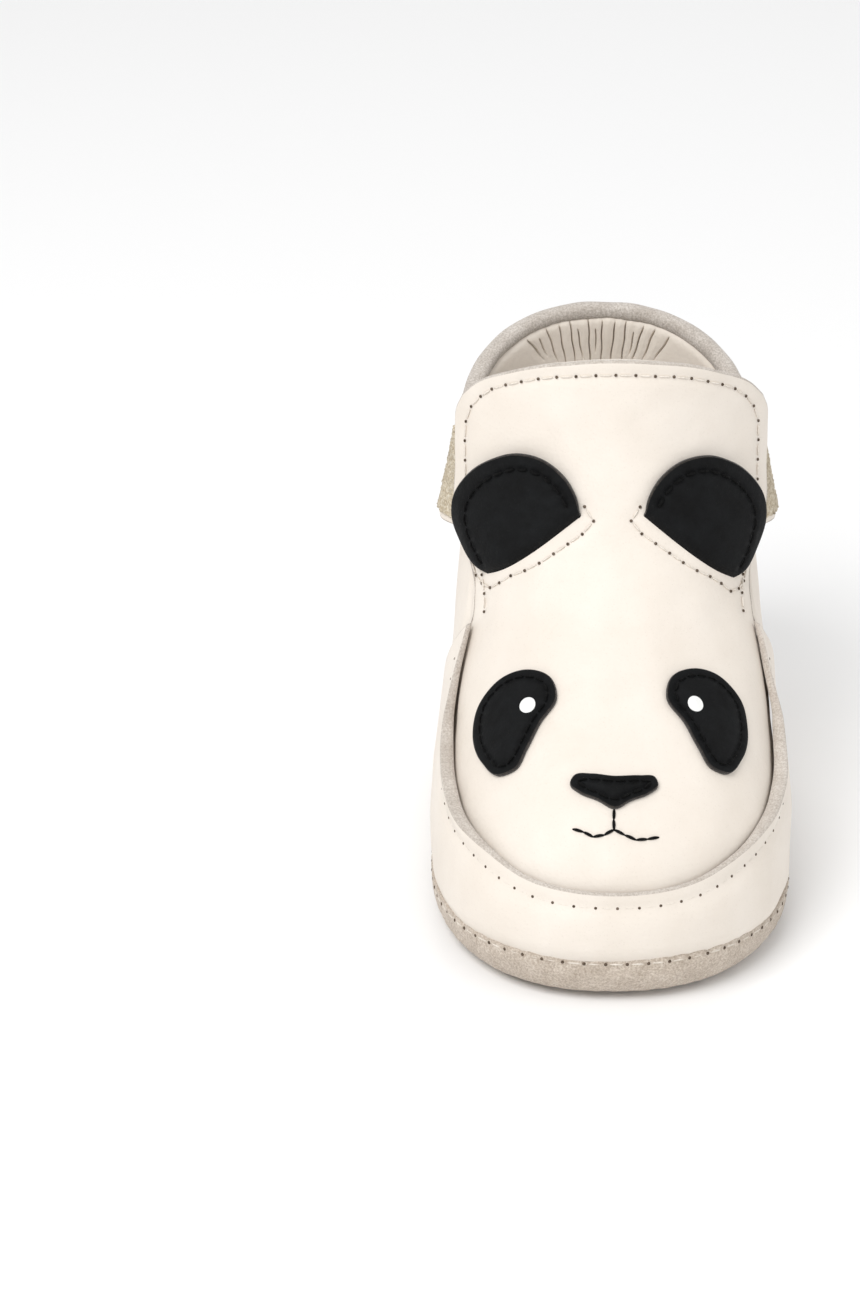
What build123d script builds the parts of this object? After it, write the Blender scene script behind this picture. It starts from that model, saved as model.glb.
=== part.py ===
from build123d import *
from math import copysign, cos, hypot, pi, radians, sin, sqrt
import os

# Soft leather baby bootie for a left foot, with a panda's face on the toe.
#
# A suede sole and a raw-edged toe band wrap a leather vamp. The tall tongue flexes forward at the
# throat and carries two ears. The quarter runs round the heel, gathered by elastic under a rolled
# collar, and ends on each side in an ankle strap that fastens under a wing of the tongue.
#
# Millimetres. The origin is under the middle of the sole, +Z is up, the toe points along -Y and
# the outer (lateral) side of the foot is +X.

# ---- the body's form: a horizontal section at each height ----------------------------------
HEIGHTS = [0, 2, 5, 10, 17, 24, 32, 42, 52, 62, 74, 94]
TOE_Y = [-54.8, -58.6, -60.6, -61.4, -60.6, -57.0, -48.5, -35.0, -22.0, -13.5, -8.5, -5.0]
HEEL_Y = [57.4, 60.0, 61.4, 62.2, 62.2, 61.5, 60.3, 58.6, 57.2, 56.4, 56.2, 57.0]
HALF_WIDTH = [27.2, 28.9, 29.6, 29.8, 29.7, 29.0, 27.9, 27.0, 26.2, 25.5, 25.3, 25.6]
WIDEST_Y = [-20.0, -20.0, -20.0, -20.0, -19.0, -16.0, -8.0, 5.0, 16.0, 23.0, 27.0, 28.0]
TOE_POWER = [2.3, 2.3, 2.3, 2.3, 2.3, 2.25, 2.2, 2.15, 2.1, 2.1, 2.1, 2.1]
HEEL_POWER = [2.4, 2.4, 2.4, 2.4, 2.4, 2.35, 2.3, 2.25, 2.2, 2.2, 2.2, 2.2]
TOE_SWING = 1.2          # how far the toe tip leans to the inner side of the foot
SECTION_POINTS = 32
LOFT_HEIGHTS = [0, 2, 5, 10, 17, 24, 31, 38, 46, 54, 62, 74, 86]

# ---- the tongue stands wider than the ankle above the throat -------------------------------
WING_FLARE = 5.6
FLARE_LOW = 48.0
FLARE_HIGH = 64.0

# ---- layers, as distances out from the leather's outer face --------------------------------
LEATHER = 1.2
WRAP_IN = 0.30           # the sole's wall and the toe band lie over the vamp
WRAP_OUT = 1.45
PATCH_IN = 0.40
PATCH_OUT = 1.35
DOT_IN = PATCH_OUT + 0.25
DOT_OUT = PATCH_OUT + 0.65
LINING_OUT = -1.50
LINING_IN = -2.05
VAMP_LINING_OUT = -2.00
VAMP_LINING_IN = -2.55
ELASTIC_OUT = -1.45
ELASTIC_IN = -1.80
HEEL_LINING_OUT = -2.10
HEEL_LINING_IN = -2.65
HOOK_OUT = -2.35
HOOK_IN = -2.85
TAPE = 0.65              # thickness of the loop tape

# ---- sole stack ----------------------------------------------------------------------------
SOLE_THICK = 1.5
PAD_LOW, PAD_HIGH = 1.6, 3.4
INSOLE_LOW, INSOLE_HIGH = 3.5, 5.0
INSIDE_SOLE = -2.95

# ---- edge lines in the side view, as (y, z) ------------------------------------------------
SOLE_EDGE = [(-70, 8.9), (-60, 8.6), (-45, 7.2), (-25, 5.2), (0, 4.6), (70, 4.6)]
BAND_EDGE = [(-70, 19.4), (-59, 20.5), (-52, 22.0), (-45, 23.3), (-37, 24.9), (-29, 27.6),
             (-22, 31.8), (-15.5, 37.6), (-9.6, 45.2)]
BAND_END = [(-9.6, 45.2), (-3.2, 30), (1.0, 14), (3, 4.8)]
SIDE_SEAM = [(2, -5), (0, 14), (-4, 30), (-9.6, 46.4)]
THROAT = (-9.6, 46.4)
HINGE_Y, HINGE_Z = -24.55, 50.0
TONGUE_EDGE = [(-9.3, 46.9), (-4.5, 51), (0, 55.4), (4, 61), (7, 67), (9.2, 72.5), (10, 76.5),
               (8.2, 80), (4, 84), (-0.5, 87.8), (-3.4, 90), (-5.5, 91.8), (-12, 92.4)]
COLLAR_FRONT_Y = 24.0
COLLAR_TOP = [(24, 71.2), (32, 71.9), (40, 73.8), (48, 76.4), (56, 79.5), (66, 83.6)]
COLLAR_HEIGHT = 2.8
STRAP_LOW, STRAP_HIGH = 54.6, 71.2

# ---- the face, drawn on a plane that lies along the vamp ------------------------------------
FACE_ORIGIN = (0, -35, 36)
FACE_NORMAL = (0, -0.6, 0.8)
FACE_MIDDLE = -1.0
EYE_OUTLINE = [(14.0, 11.6), (10.2, 9.4), (9.3, 5.4), (12.1, 1.2), (14.2, -3.2), (16.2, -6.6),
               (18.6, -6.9), (21.2, -3.4), (22.6, 3.0), (21.4, 8.3), (18.0, 11.3)]
HIGHLIGHT_AT = (13.7, 4.7)
HIGHLIGHT_RADIUS = 1.3
NOSE_OUTLINE = [(0, -10.1), (4.4, -9.5), (6.9, -10.5), (6.2, -12.2), (2.7, -14.1), (0, -15.4),
                (-2.7, -14.1), (-6.2, -12.2), (-6.9, -10.5), (-4.4, -9.5)]
MOUTH_LINES = [[(-0.1, -15.9), (-0.2, -19.1)],
               [(-0.2, -19.3), (-2.3, -20.3), (-4.2, -20.3), (-6.7, -18.9)],
               [(-0.2, -19.3), (2.1, -20.3), (4.6, -21.0), (7.1, -20.1)]]

# ---- ears, drawn in the front view as (distance from the middle, z) --------------------------
EAR_MIDDLE = -0.45
EAR_CURVE = [(21.0, 53.0), (24.4, 54.4), (26.7, 57.2), (27.1, 61.6), (24.4, 67.6), (20.0, 72.4),
             (15.7, 74.7), (11.6, 74.5), (8.2, 72.2), (6.2, 69.0), (5.4, 65.3)]
EAR_IN, EAR_OUT = 0.35, 1.6
EAR_LOW, EAR_HIGH = 51.5, 75.5

# ---- stitches ------------------------------------------------------------------------------
THREAD = 0.5
STITCH_LIFT = 0.6        # middle of the thread above the leather's face
BAND_PITCH = 3.7
TONGUE_PITCH = 3.5
PATCH_PITCH = 2.4
EDGE_INSET = 2.0
SOLE_PITCH = 4.0
SOLE_INSET = 0.7


def smooth_value(height, values):
    """Value at a height on a smooth curve through the values listed at HEIGHTS."""
    height = min(max(height, HEIGHTS[0]), HEIGHTS[-1])
    index = 0
    while index < len(HEIGHTS) - 2 and HEIGHTS[index + 1] < height:
        index += 1
    span = HEIGHTS[index + 1] - HEIGHTS[index]
    t = (height - HEIGHTS[index]) / span
    start, end = slope(index, values) * span, slope(index + 1, values) * span
    low, high = values[index], values[index + 1]
    return (low + t * start + t * t * (3 * (high - low) - 2 * start - end)
            + t ** 3 * (2 * (low - high) + start + end))


def slope(index, values):
    """Slope of the smooth curve at one of the HEIGHTS."""
    def rise(lower):
        return (values[lower + 1] - values[lower]) / (HEIGHTS[lower + 1] - HEIGHTS[lower])

    if index == 0:
        return rise(0)
    if index == len(HEIGHTS) - 1:
        return rise(index - 1)
    before = HEIGHTS[index] - HEIGHTS[index - 1]
    after = HEIGHTS[index + 1] - HEIGHTS[index]
    return (before * rise(index) + after * rise(index - 1)) / (before + after)


def flare(height):
    """Extra half width of the tongue at a height."""
    t = min(max((height - FLARE_LOW) / (FLARE_HIGH - FLARE_LOW), 0), 1)
    return WING_FLARE * t * t * (3 - 2 * t)


def half_axes(height, offset, on_tongue):
    """Half width, depth to the toe and depth to the heel of a section moved out by an offset."""
    toe_slope = smooth_value(height + 0.5, TOE_Y) - smooth_value(height - 0.5, TOE_Y)
    widest = smooth_value(height, WIDEST_Y)
    width = smooth_value(height, HALF_WIDTH) + offset + (flare(height) if on_tongue else 0)
    toe = widest - smooth_value(height, TOE_Y) + offset * sqrt(1 + toe_slope ** 2)
    heel = smooth_value(height, HEEL_Y) - widest + offset
    return width, toe, heel


def surface_point(angle, height, offset, on_tongue=False):
    """Point of a section. Angle 0 is the outer side and -90 degrees is the toe."""
    width, toe, heel = half_axes(height, offset, on_tongue)
    front = sin(angle) < 0
    power = smooth_value(height, TOE_POWER if front else HEEL_POWER)
    x = width * copysign(abs(cos(angle)) ** (2 / power), cos(angle))
    y = (toe if front else heel) * copysign(abs(sin(angle)) ** (2 / power), sin(angle))
    y += smooth_value(height, WIDEST_Y)
    x -= TOE_SWING * (max(0, -y) / 60) ** 2
    return Vector(x, y, height)


def section(height, offset, on_tongue):
    """Closed horizontal section of the body, moved out by an offset."""
    angles = [2 * pi * i / SECTION_POINTS for i in range(SECTION_POINTS)]
    points = [surface_point(angle, height, offset, on_tongue) for angle in angles]
    with BuildSketch(Plane.XY.offset(height)) as outline:
        with BuildLine():
            Spline(*[(point.X, point.Y) for point in points], periodic=True)
        make_face()
    return outline.sketch


def body(low, high, offset, on_tongue=False):
    """Sections to loft the body from a low to a high level, moved out by an offset."""
    between = [height for height in LOFT_HEIGHTS if low + 0.3 < height < high - 0.3]
    return [section(height, offset, on_tongue) for height in [low, *between, high]]


def side_view(*edges):
    """Region of the side view bounded by smooth edges, joined end to end by straight lines."""
    with BuildSketch(Plane.YZ) as region:
        with BuildLine():
            for index, edge in enumerate(edges):
                if len(edge) > 2:
                    Spline(*edge)
                elif len(edge) == 2:
                    Line(*edge)
                following = edges[(index + 1) % len(edges)]
                if edge[-1] != following[0]:
                    Line(edge[-1], following[0])
        make_face()
    return region.sketch


def shifted(curve, dy, dz):
    """Side-view curve moved along y and z."""
    return [(y + dy, z + dz) for y, z in curve]


def face_drawing(outline, side):
    """Closed smooth outline on the face plane, mirrored by side about the face's middle."""
    points = [(FACE_MIDDLE + side * x, v) for x, v in outline]
    with BuildSketch(Plane(FACE_ORIGIN, x_dir=(1, 0, 0), z_dir=FACE_NORMAL)) as drawing:
        with BuildLine():
            Spline(*points, periodic=True)
        make_face()
    return drawing.sketch


def ear_drawing(side):
    """D-shaped ear in the front view: a straight base and a full curve."""
    curve = [(EAR_MIDDLE + side * x, z) for x, z in EAR_CURVE]
    with BuildSketch(Plane.XZ.offset(40)) as drawing:
        with BuildLine():
            Spline(*curve)
            Line(curve[-1], curve[0])
        make_face()
    return drawing.sketch


def x_at(y, height, offset, on_tongue=False):
    """Half width of a section at a distance along the foot, measured from its own middle."""
    width, toe, heel = half_axes(height, offset, on_tongue)
    widest = smooth_value(height, WIDEST_Y)
    front = y < widest
    power = smooth_value(height, TOE_POWER if front else HEEL_POWER)
    share = min(abs(y - widest) / (toe if front else heel), 1)
    return width * (1 - share ** power) ** (1 / power)


def y_at(x, height, offset, on_tongue=False):
    """Where the front of a section is, at a distance to the side."""
    width, toe, heel = half_axes(height, offset, on_tongue)
    power = smooth_value(height, TOE_POWER)
    share = min(abs(x) / width, 1)
    return smooth_value(height, WIDEST_Y) - toe * (1 - share ** power) ** (1 / power)


def on_front(x, height, offset, on_tongue=False):
    """Point on the front of the body at a distance to the side and a height."""
    y = y_at(x, height, offset, on_tongue)
    swing = TOE_SWING * (max(0, -y) / 60) ** 2
    y = y_at(x + swing, height, offset, on_tongue)
    return Vector(x, y, height)


def on_face(x, v, offset):
    """Point on the vamp under a point of the face plane."""
    low, high = 12.0, 60.0
    for _ in range(24):
        middle = (low + high) / 2
        y = on_front(x, middle, offset).Y
        above = 0.8 * (y - FACE_ORIGIN[1]) + 0.6 * (middle - FACE_ORIGIN[2]) > v
        low, high = (low, middle) if above else (middle, high)
    return on_front(x, low, offset)


def outward(point, on_tongue=False):
    """Direction square to the surface at a point near it."""
    def depth(x, y, z):
        width, toe, heel = half_axes(z, 0, on_tongue)
        widest = smooth_value(z, WIDEST_Y)
        front = y < widest
        power = smooth_value(z, TOE_POWER if front else HEEL_POWER)
        return (abs(x) / width) ** power + (abs(y - widest) / (toe if front else heel)) ** power

    step = 0.05
    x, y, z = point.X + TOE_SWING * (max(0, -point.Y) / 60) ** 2, point.Y, point.Z
    return Vector(depth(x + step, y, z) - depth(x - step, y, z),
                  depth(x, y + step, z) - depth(x, y - step, z),
                  depth(x, y, z + step) - depth(x, y, z - step)).normalized()


def stitch_row(path, pitch, on_tongue=False):
    """Planes for stitches set at a pitch along a path of points on the surface."""
    planes = []
    travelled, due = 0.0, pitch / 2
    for start, end in zip(path, path[1:]):
        step = (end - start).length
        while due <= travelled + step:
            point = start + (end - start) * ((due - travelled) / step)
            normal = outward(point, on_tongue)
            origin = point + normal * STITCH_LIFT
            planes.append(Plane(origin, x_dir=end - start, z_dir=normal))
            due += pitch
        travelled += step
    return planes


def line_height(curve, y):
    """Height of a side-view line at a distance along the foot."""
    for (y0, z0), (y1, z1) in zip(curve, curve[1:]):
        if y0 <= y <= y1:
            return z0 + (z1 - z0) * (y - y0) / (y1 - y0)
    return curve[0][1] if y < curve[0][0] else curve[-1][1]


def band_path():
    """Stitch line on the toe band, an inset below its raw edge, from side to side."""
    path = []
    for degree in range(-186, 7):
        height = 22.0
        for _ in range(4):
            point = surface_point(radians(degree), height, WRAP_OUT)
            height = line_height(BAND_EDGE, point.Y) - EDGE_INSET
        if point.Y < -13:
            path.append(point)
    return path


def sole_path():
    """Stitch line on the sole's wall, just below its edge, round the toe from side to side."""
    path = []
    for degree in range(-180, 1, 2):
        height = 8.0
        for _ in range(4):
            point = surface_point(radians(degree), height, WRAP_OUT)
            height = line_height(SOLE_EDGE, point.Y) - SOLE_INSET
        path.append(point)
    return path


def face_path(outline, side, inset, closed=True):
    """Stitch line on the vamp along a drawn outline, pulled in towards its middle."""
    middle_x = sum(x for x, v in outline) / len(outline)
    middle_v = sum(v for x, v in outline) / len(outline)
    corners = list(outline) + ([outline[0]] if closed else [])
    path = []
    for (x0, v0), (x1, v1) in zip(corners, corners[1:]):
        for step in range(8):
            x = x0 + (x1 - x0) * step / 8
            v = v0 + (v1 - v0) * step / 8
            reach = hypot(x - middle_x, v - middle_v)
            keep = 1 - inset / reach if reach > inset else 1
            x = middle_x + (x - middle_x) * keep
            v = middle_v + (v - middle_v) * keep
            path.append(on_face(FACE_MIDDLE + side * x, v, PATCH_OUT if inset else 0.0))
    return path


def tongue_path(side):
    """Stitch line inside the tongue's free edge, from the throat to the middle of the top."""
    path = []
    for (y0, z0), (y1, z1) in zip(TONGUE_EDGE[:-2], TONGUE_EDGE[1:-1]):
        for step in range(6):
            share = step / 6
            inner_y, inner_z = inset_point(y0 + (y1 - y0) * share, z0 + (z1 - z0) * share)
            x = x_at(inner_y, inner_z, 0.0, True)
            path.append(Vector(side * x, inner_y, inner_z))
    crown_z = TONGUE_EDGE[-2][1] - EDGE_INSET
    path = [point for point in path if point.Z < crown_z - 1.0 or abs(point.X) > 12]
    last = path[-1]
    for step in range(1, 17):
        x = last.X * (1 - step / 16)
        z = last.Z + (crown_z - last.Z) * sin(step / 16 * pi / 2)
        path.append(on_front(x, z, 0.0, True))
    return path


def inset_point(y, z):
    """Point an inset in from the tongue's edge, in the side view."""
    heart_y, heart_z = -12.0, 72.0
    reach = hypot(y - heart_y, z - heart_z)
    keep = 1 - EDGE_INSET / reach
    return heart_y + (y - heart_y) * keep, heart_z + (z - heart_z) * keep


def front_path(points, side, offset):
    """Stitch line on the tongue through points of the front view."""
    path = []
    for (x0, z0), (x1, z1) in zip(points, points[1:]):
        for step in range(8):
            x = x0 + (x1 - x0) * step / 8
            z = z0 + (z1 - z0) * step / 8
            path.append(on_front(EAR_MIDDLE + side * x, z, offset, True))
    return path


def strap_section(height, side, outside, thickness, front_y, back_y):
    """Horizontal section of a strap or its tape, an outside distance in from the tape's face."""
    def face_x(y, inward):
        under_wing = x_at(y, height, HOOK_IN - 0.4, True)
        on_ankle = x_at(y, height, 0.0)
        share = min(max((y - 8.0) / 6.0, 0), 1)
        share = share * share * (3 - 2 * share)
        bulge = 3.6 * max(0, sin(pi * (y - 8.0) / 15.6)) if y > 8.0 else 0
        return side * (under_wing * (1 - share) + (on_ankle + 0.4) * share + bulge - inward)

    rows = [front_y + (back_y - front_y) * i / 12 for i in range(13)]
    outer = [(face_x(y, outside), y) for y in rows]
    inner = [(face_x(y, outside + thickness), y) for y in reversed(rows)]
    with BuildSketch(Plane.XY.offset(height)) as outline:
        with BuildLine():
            Spline(*outer)
            Line(outer[-1], inner[0])
            Spline(*inner)
            Line(inner[-1], outer[0])
        make_face()
    return outline.sketch


def strap_levels(low, high, side, outside, thickness, front_y, back_y):
    """Sections to loft a strap or its tape between two heights."""
    heights = [low + (high - low) * i / 4 for i in range(5)]
    return [strap_section(z, side, outside, thickness, front_y, back_y) for z in heights]


def save(part, name):
    """Label a finished part and write it to its own file."""
    part.label = name
    export_step(part, "parts/" + name + ".step")


os.makedirs("parts", exist_ok=True)
MEDIAL, LATERAL = -1, 1
SIDES = {"medial": MEDIAL, "lateral": LATERAL}

# Suede sole: a flat bottom whose wall wraps up over the foot of the upper.
with BuildPart() as outsole:
    loft(body(0, 12, WRAP_OUT))
    loft(body(SOLE_THICK, 13, WRAP_IN), mode=Mode.SUBTRACT)
    extrude(side_view(SOLE_EDGE, [(70, -3), (-70, -3)]), amount=50, both=True,
            mode=Mode.INTERSECT)
save(outsole.part, "outsole")

# Foam pad and fabric insole inside the shoe.
with BuildPart() as midsole_pad:
    loft(body(PAD_LOW, PAD_HIGH, INSIDE_SOLE))
save(midsole_pad.part, "midsole_pad")

with BuildPart() as insole:
    loft(body(INSOLE_LOW, INSOLE_HIGH, INSIDE_SOLE))
save(insole.part, "insole")

# Toe band: suede with a raw top edge, from the sole's edge up to its own rim.
with BuildPart() as toe_band:
    loft(body(3, 47, WRAP_OUT))
    loft(body(2, 48, WRAP_IN), mode=Mode.SUBTRACT)
    extrude(side_view(BAND_EDGE, BAND_END, list(reversed(shifted(SOLE_EDGE[:4], 0, 0.15)))),
            amount=50, both=True, mode=Mode.INTERSECT)
save(toe_band.part, "toe_band")

# Vamp and its lining, from the sole to the flex line at the throat.
FLEX_LINE = [(-70, HINGE_Z - 0.2), (HINGE_Y, HINGE_Z - 0.2), THROAT]
VAMP_SIDE = side_view(FLEX_LINE[:2], [FLEX_LINE[1], THROAT], list(reversed(SIDE_SEAM)),
                      [(2, -5), (-70, -5)])
with BuildPart() as vamp:
    loft(body(1.6, 52, 0.0))
    loft(body(1.0, 53, -LEATHER), mode=Mode.SUBTRACT)
    extrude(VAMP_SIDE, amount=50, both=True, mode=Mode.INTERSECT)
save(vamp.part, "vamp")

with BuildPart() as vamp_lining:
    loft(body(1.6, 53, VAMP_LINING_OUT))
    loft(body(1.0, 53.1, VAMP_LINING_IN), mode=Mode.SUBTRACT)
    extrude(VAMP_SIDE, amount=50, both=True, mode=Mode.INTERSECT)
save(vamp_lining.part, "vamp_lining")

# Quarter and its lining: round the heel, low in front of the straps and up to the collar.
QUARTER_TOP = [(-9.3, 46.3), (-4.0, 50.4), (-0.6, 53.0), (5, 54.0), (COLLAR_FRONT_Y, 54.1)]
COLLAR_FOOT = shifted(COLLAR_TOP, 0, -COLLAR_HEIGHT)
QUARTER_SIDE = side_view(QUARTER_TOP, COLLAR_FOOT, [(70, 80), (70, -5), (2.15, -5)],
                         shifted(SIDE_SEAM, 0.15, 0))
with BuildPart() as quarter:
    loft(body(1.6, 84, 0.0))
    loft(body(1.0, 85, -LEATHER), mode=Mode.SUBTRACT)
    extrude(QUARTER_SIDE, amount=50, both=True, mode=Mode.INTERSECT)
save(quarter.part, "quarter")

with BuildPart() as quarter_lining:
    loft(body(1.6, 84, HEEL_LINING_OUT))
    loft(body(1.0, 85, HEEL_LINING_IN), mode=Mode.SUBTRACT)
    extrude(QUARTER_SIDE, amount=50, both=True, mode=Mode.INTERSECT)
save(quarter_lining.part, "quarter_lining")

# Elastic inside the heel, between the leather and the lining.
ELASTIC_TOP = shifted(COLLAR_TOP[1:], 0, -7.5)
ELASTIC_FOOT = list(reversed(shifted(COLLAR_TOP[1:], 0, -15.5)))
with BuildPart() as ankle_elastic:
    loft(body(50, 84, ELASTIC_OUT))
    loft(body(49, 85, ELASTIC_IN), mode=Mode.SUBTRACT)
    extrude(side_view(ELASTIC_TOP, ELASTIC_FOOT), amount=50, both=True, mode=Mode.INTERSECT)
save(ankle_elastic.part, "ankle_elastic")

# Rolled suede binding along the collar.
with BuildPart() as collar_binding:
    loft(body(64, 90, 0.5))
    loft(body(63, 91, -2.9), mode=Mode.SUBTRACT)
    extrude(side_view(COLLAR_TOP, list(reversed(shifted(COLLAR_TOP, 0, 0.1 - COLLAR_HEIGHT)))),
            amount=50, both=True, mode=Mode.INTERSECT)
save(collar_binding.part, "collar_binding")

# The panda's face.
for side_name, side in SIDES.items():
    with BuildPart() as eye_patch:
        loft(body(20, 55, PATCH_OUT))
        loft(body(19, 56, PATCH_IN), mode=Mode.SUBTRACT)
        extrude(face_drawing(EYE_OUTLINE, side), amount=25, both=True, mode=Mode.INTERSECT)
    save(eye_patch.part, side_name + "_eye_patch")

    with BuildPart() as eye_highlight:
        loft(body(20, 55, DOT_OUT))
        loft(body(19, 56, DOT_IN), mode=Mode.SUBTRACT)
        with BuildSketch(Plane(FACE_ORIGIN, x_dir=(1, 0, 0), z_dir=FACE_NORMAL)) as dot:
            with Locations((FACE_MIDDLE + side * HIGHLIGHT_AT[0], HIGHLIGHT_AT[1])):
                Circle(HIGHLIGHT_RADIUS)
        extrude(dot.sketch, amount=25, both=True, mode=Mode.INTERSECT)
    save(eye_highlight.part, side_name + "_eye_highlight")

with BuildPart() as nose_patch:
    loft(body(15, 50, PATCH_OUT))
    loft(body(14, 51, PATCH_IN), mode=Mode.SUBTRACT)
    extrude(face_drawing(NOSE_OUTLINE, 1), amount=25, both=True, mode=Mode.INTERSECT)
save(nose_patch.part, "nose_patch")

# Thread on the face, the toe band and the sole's wall.
with BuildPart() as face_stitching:
    for side in (MEDIAL, LATERAL):
        with Locations(*stitch_row(face_path(EYE_OUTLINE, side, 1.0), PATCH_PITCH)):
            Box(1.5, THREAD, THREAD)
    with Locations(*stitch_row(face_path(NOSE_OUTLINE, 1, 0.8), PATCH_PITCH)):
        Box(1.5, THREAD, THREAD)
save(face_stitching.part, "face_stitching")

with BuildPart() as mouth_stitching:
    for line in MOUTH_LINES:
        with Locations(*stitch_row(face_path(line, 1, 0, False), 2.0)):
            Box(1.7, 0.7, THREAD)
save(mouth_stitching.part, "mouth_stitching")

with BuildPart() as band_stitching:
    with Locations(*stitch_row(band_path(), BAND_PITCH)):
        Box(2.6, THREAD, THREAD)
save(band_stitching.part, "band_stitching")

with BuildPart() as sole_stitching:
    with Locations(*stitch_row(sole_path(), SOLE_PITCH)):
        Box(2.6, THREAD, THREAD)
save(sole_stitching.part, "sole_stitching")

# Tongue: leather, lining and the hook tapes inside its wings.
TONGUE_SIDE = side_view([(-70, HINGE_Z + 0.2), (HINGE_Y, HINGE_Z + 0.2)],
                        [(HINGE_Y, HINGE_Z + 0.2), TONGUE_EDGE[0]], TONGUE_EDGE,
                        [(-12, 92.4), (-70, 92.4)])
with BuildPart() as tongue:
    loft(body(44, 96, 0.0, True))
    loft(body(43, 97, -LEATHER, True), mode=Mode.SUBTRACT)
    extrude(TONGUE_SIDE, amount=50, both=True, mode=Mode.INTERSECT)
save(tongue.part, "tongue")

with BuildPart() as tongue_lining:
    loft(body(44, 96, LINING_OUT, True))
    loft(body(43, 97, LINING_IN, True), mode=Mode.SUBTRACT)
    extrude(TONGUE_SIDE, amount=50, both=True, mode=Mode.INTERSECT)
save(tongue_lining.part, "tongue_lining")

HOOK_SIDE = side_view([(-7, 57), (-0.6, 57.6)], [(4.6, 66), (6.2, 69.5)], [(-7, 69.5), (-7, 57)])
for side_name, side in SIDES.items():
    with BuildPart() as hook_tape:
        loft(body(54, 73, HOOK_OUT, True))
        loft(body(53, 74, HOOK_IN, True), mode=Mode.SUBTRACT)
        extrude(HOOK_SIDE, amount=side * 50, mode=Mode.INTERSECT)
    save(hook_tape.part, side_name + "_hook_tape")

# Ears, tucked into slanting slits in the tongue.
for side_name, side in SIDES.items():
    with BuildPart() as ear:
        loft(body(50, 78, EAR_OUT, True))
        loft(body(49, 79, EAR_IN, True), mode=Mode.SUBTRACT)
        extrude(ear_drawing(side), amount=-62, mode=Mode.INTERSECT)
    save(ear.part, side_name + "_ear")

EAR_SEAM = [(24.0, 55.6), (25.6, 58.4), (25.7, 62.0), (23.2, 67.0), (19.2, 71.2), (15.4, 73.1),
            (12.0, 72.9), (9.4, 71.0)]
with BuildPart() as ear_stitching:
    for side in (MEDIAL, LATERAL):
        with Locations(*stitch_row(front_path(EAR_SEAM, side, EAR_OUT), PATCH_PITCH, True)):
            Box(1.5, THREAD, THREAD)
save(ear_stitching.part, "ear_stitching")

SLIT_SEAM = [(4.0, 66.6), (3.6, 64.6), (20.4, 51.4), (22.4, 51.8)]
with BuildPart() as slit_stitching:
    for side in (MEDIAL, LATERAL):
        with Locations(*stitch_row(front_path(SLIT_SEAM, side, 0.0), TONGUE_PITCH, True)):
            Box(2.4, THREAD, THREAD)
save(slit_stitching.part, "slit_stitching")

with BuildPart() as tongue_edge_stitching:
    for side in (MEDIAL, LATERAL):
        planes = stitch_row(tongue_path(side), TONGUE_PITCH, True)
        clear = [plane for plane in planes if not EAR_LOW < plane.origin.Z < EAR_HIGH]
        with Locations(*clear):
            Box(2.0, THREAD, THREAD)
save(tongue_edge_stitching.part, "tongue_edge_stitching")

# Ankle straps with loop tape on their outer faces, reaching in under the tongue's wings.
STRAP_BACK = COLLAR_FRONT_Y - 0.8
for side_name, side in SIDES.items():
    with BuildPart() as strap:
        loft(strap_levels(STRAP_LOW, STRAP_HIGH, side, TAPE + 0.3, LEATHER, -3, STRAP_BACK))
    save(strap.part, side_name + "_strap")

    with BuildPart() as loop_tape:
        loft(strap_levels(STRAP_LOW + 1.5, STRAP_HIGH - 1.5, side, 0.0, TAPE, -2, 19))
    save(loop_tape.part, side_name + "_loop_tape")
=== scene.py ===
import math

import bpy
import numpy as np
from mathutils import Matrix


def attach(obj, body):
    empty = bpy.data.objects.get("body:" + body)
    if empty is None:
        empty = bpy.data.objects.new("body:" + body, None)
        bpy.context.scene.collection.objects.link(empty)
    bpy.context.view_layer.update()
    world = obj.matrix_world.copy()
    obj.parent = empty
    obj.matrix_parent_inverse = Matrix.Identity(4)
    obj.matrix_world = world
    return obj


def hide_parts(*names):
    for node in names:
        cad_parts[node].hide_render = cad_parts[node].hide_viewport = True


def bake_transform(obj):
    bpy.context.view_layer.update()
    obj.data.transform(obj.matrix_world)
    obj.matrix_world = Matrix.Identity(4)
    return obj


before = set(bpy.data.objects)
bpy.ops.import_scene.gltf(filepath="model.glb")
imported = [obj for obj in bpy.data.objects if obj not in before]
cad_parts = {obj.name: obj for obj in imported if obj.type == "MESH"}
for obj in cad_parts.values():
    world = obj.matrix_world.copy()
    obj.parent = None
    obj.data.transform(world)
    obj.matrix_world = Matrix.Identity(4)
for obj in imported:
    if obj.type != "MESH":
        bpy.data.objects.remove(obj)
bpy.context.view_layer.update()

# Looks of the panda baby bootie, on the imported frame. Sizes in this file are in millimetres, in
# the frame's own axes, and every mesh is scaled to metres as it is made. The lamps and the
# camera are in metres.

MM = 0.001
FOOT, FLAP = "foot", "tongue_flap"
SIDES = {"medial": -1, "lateral": 1}

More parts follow.
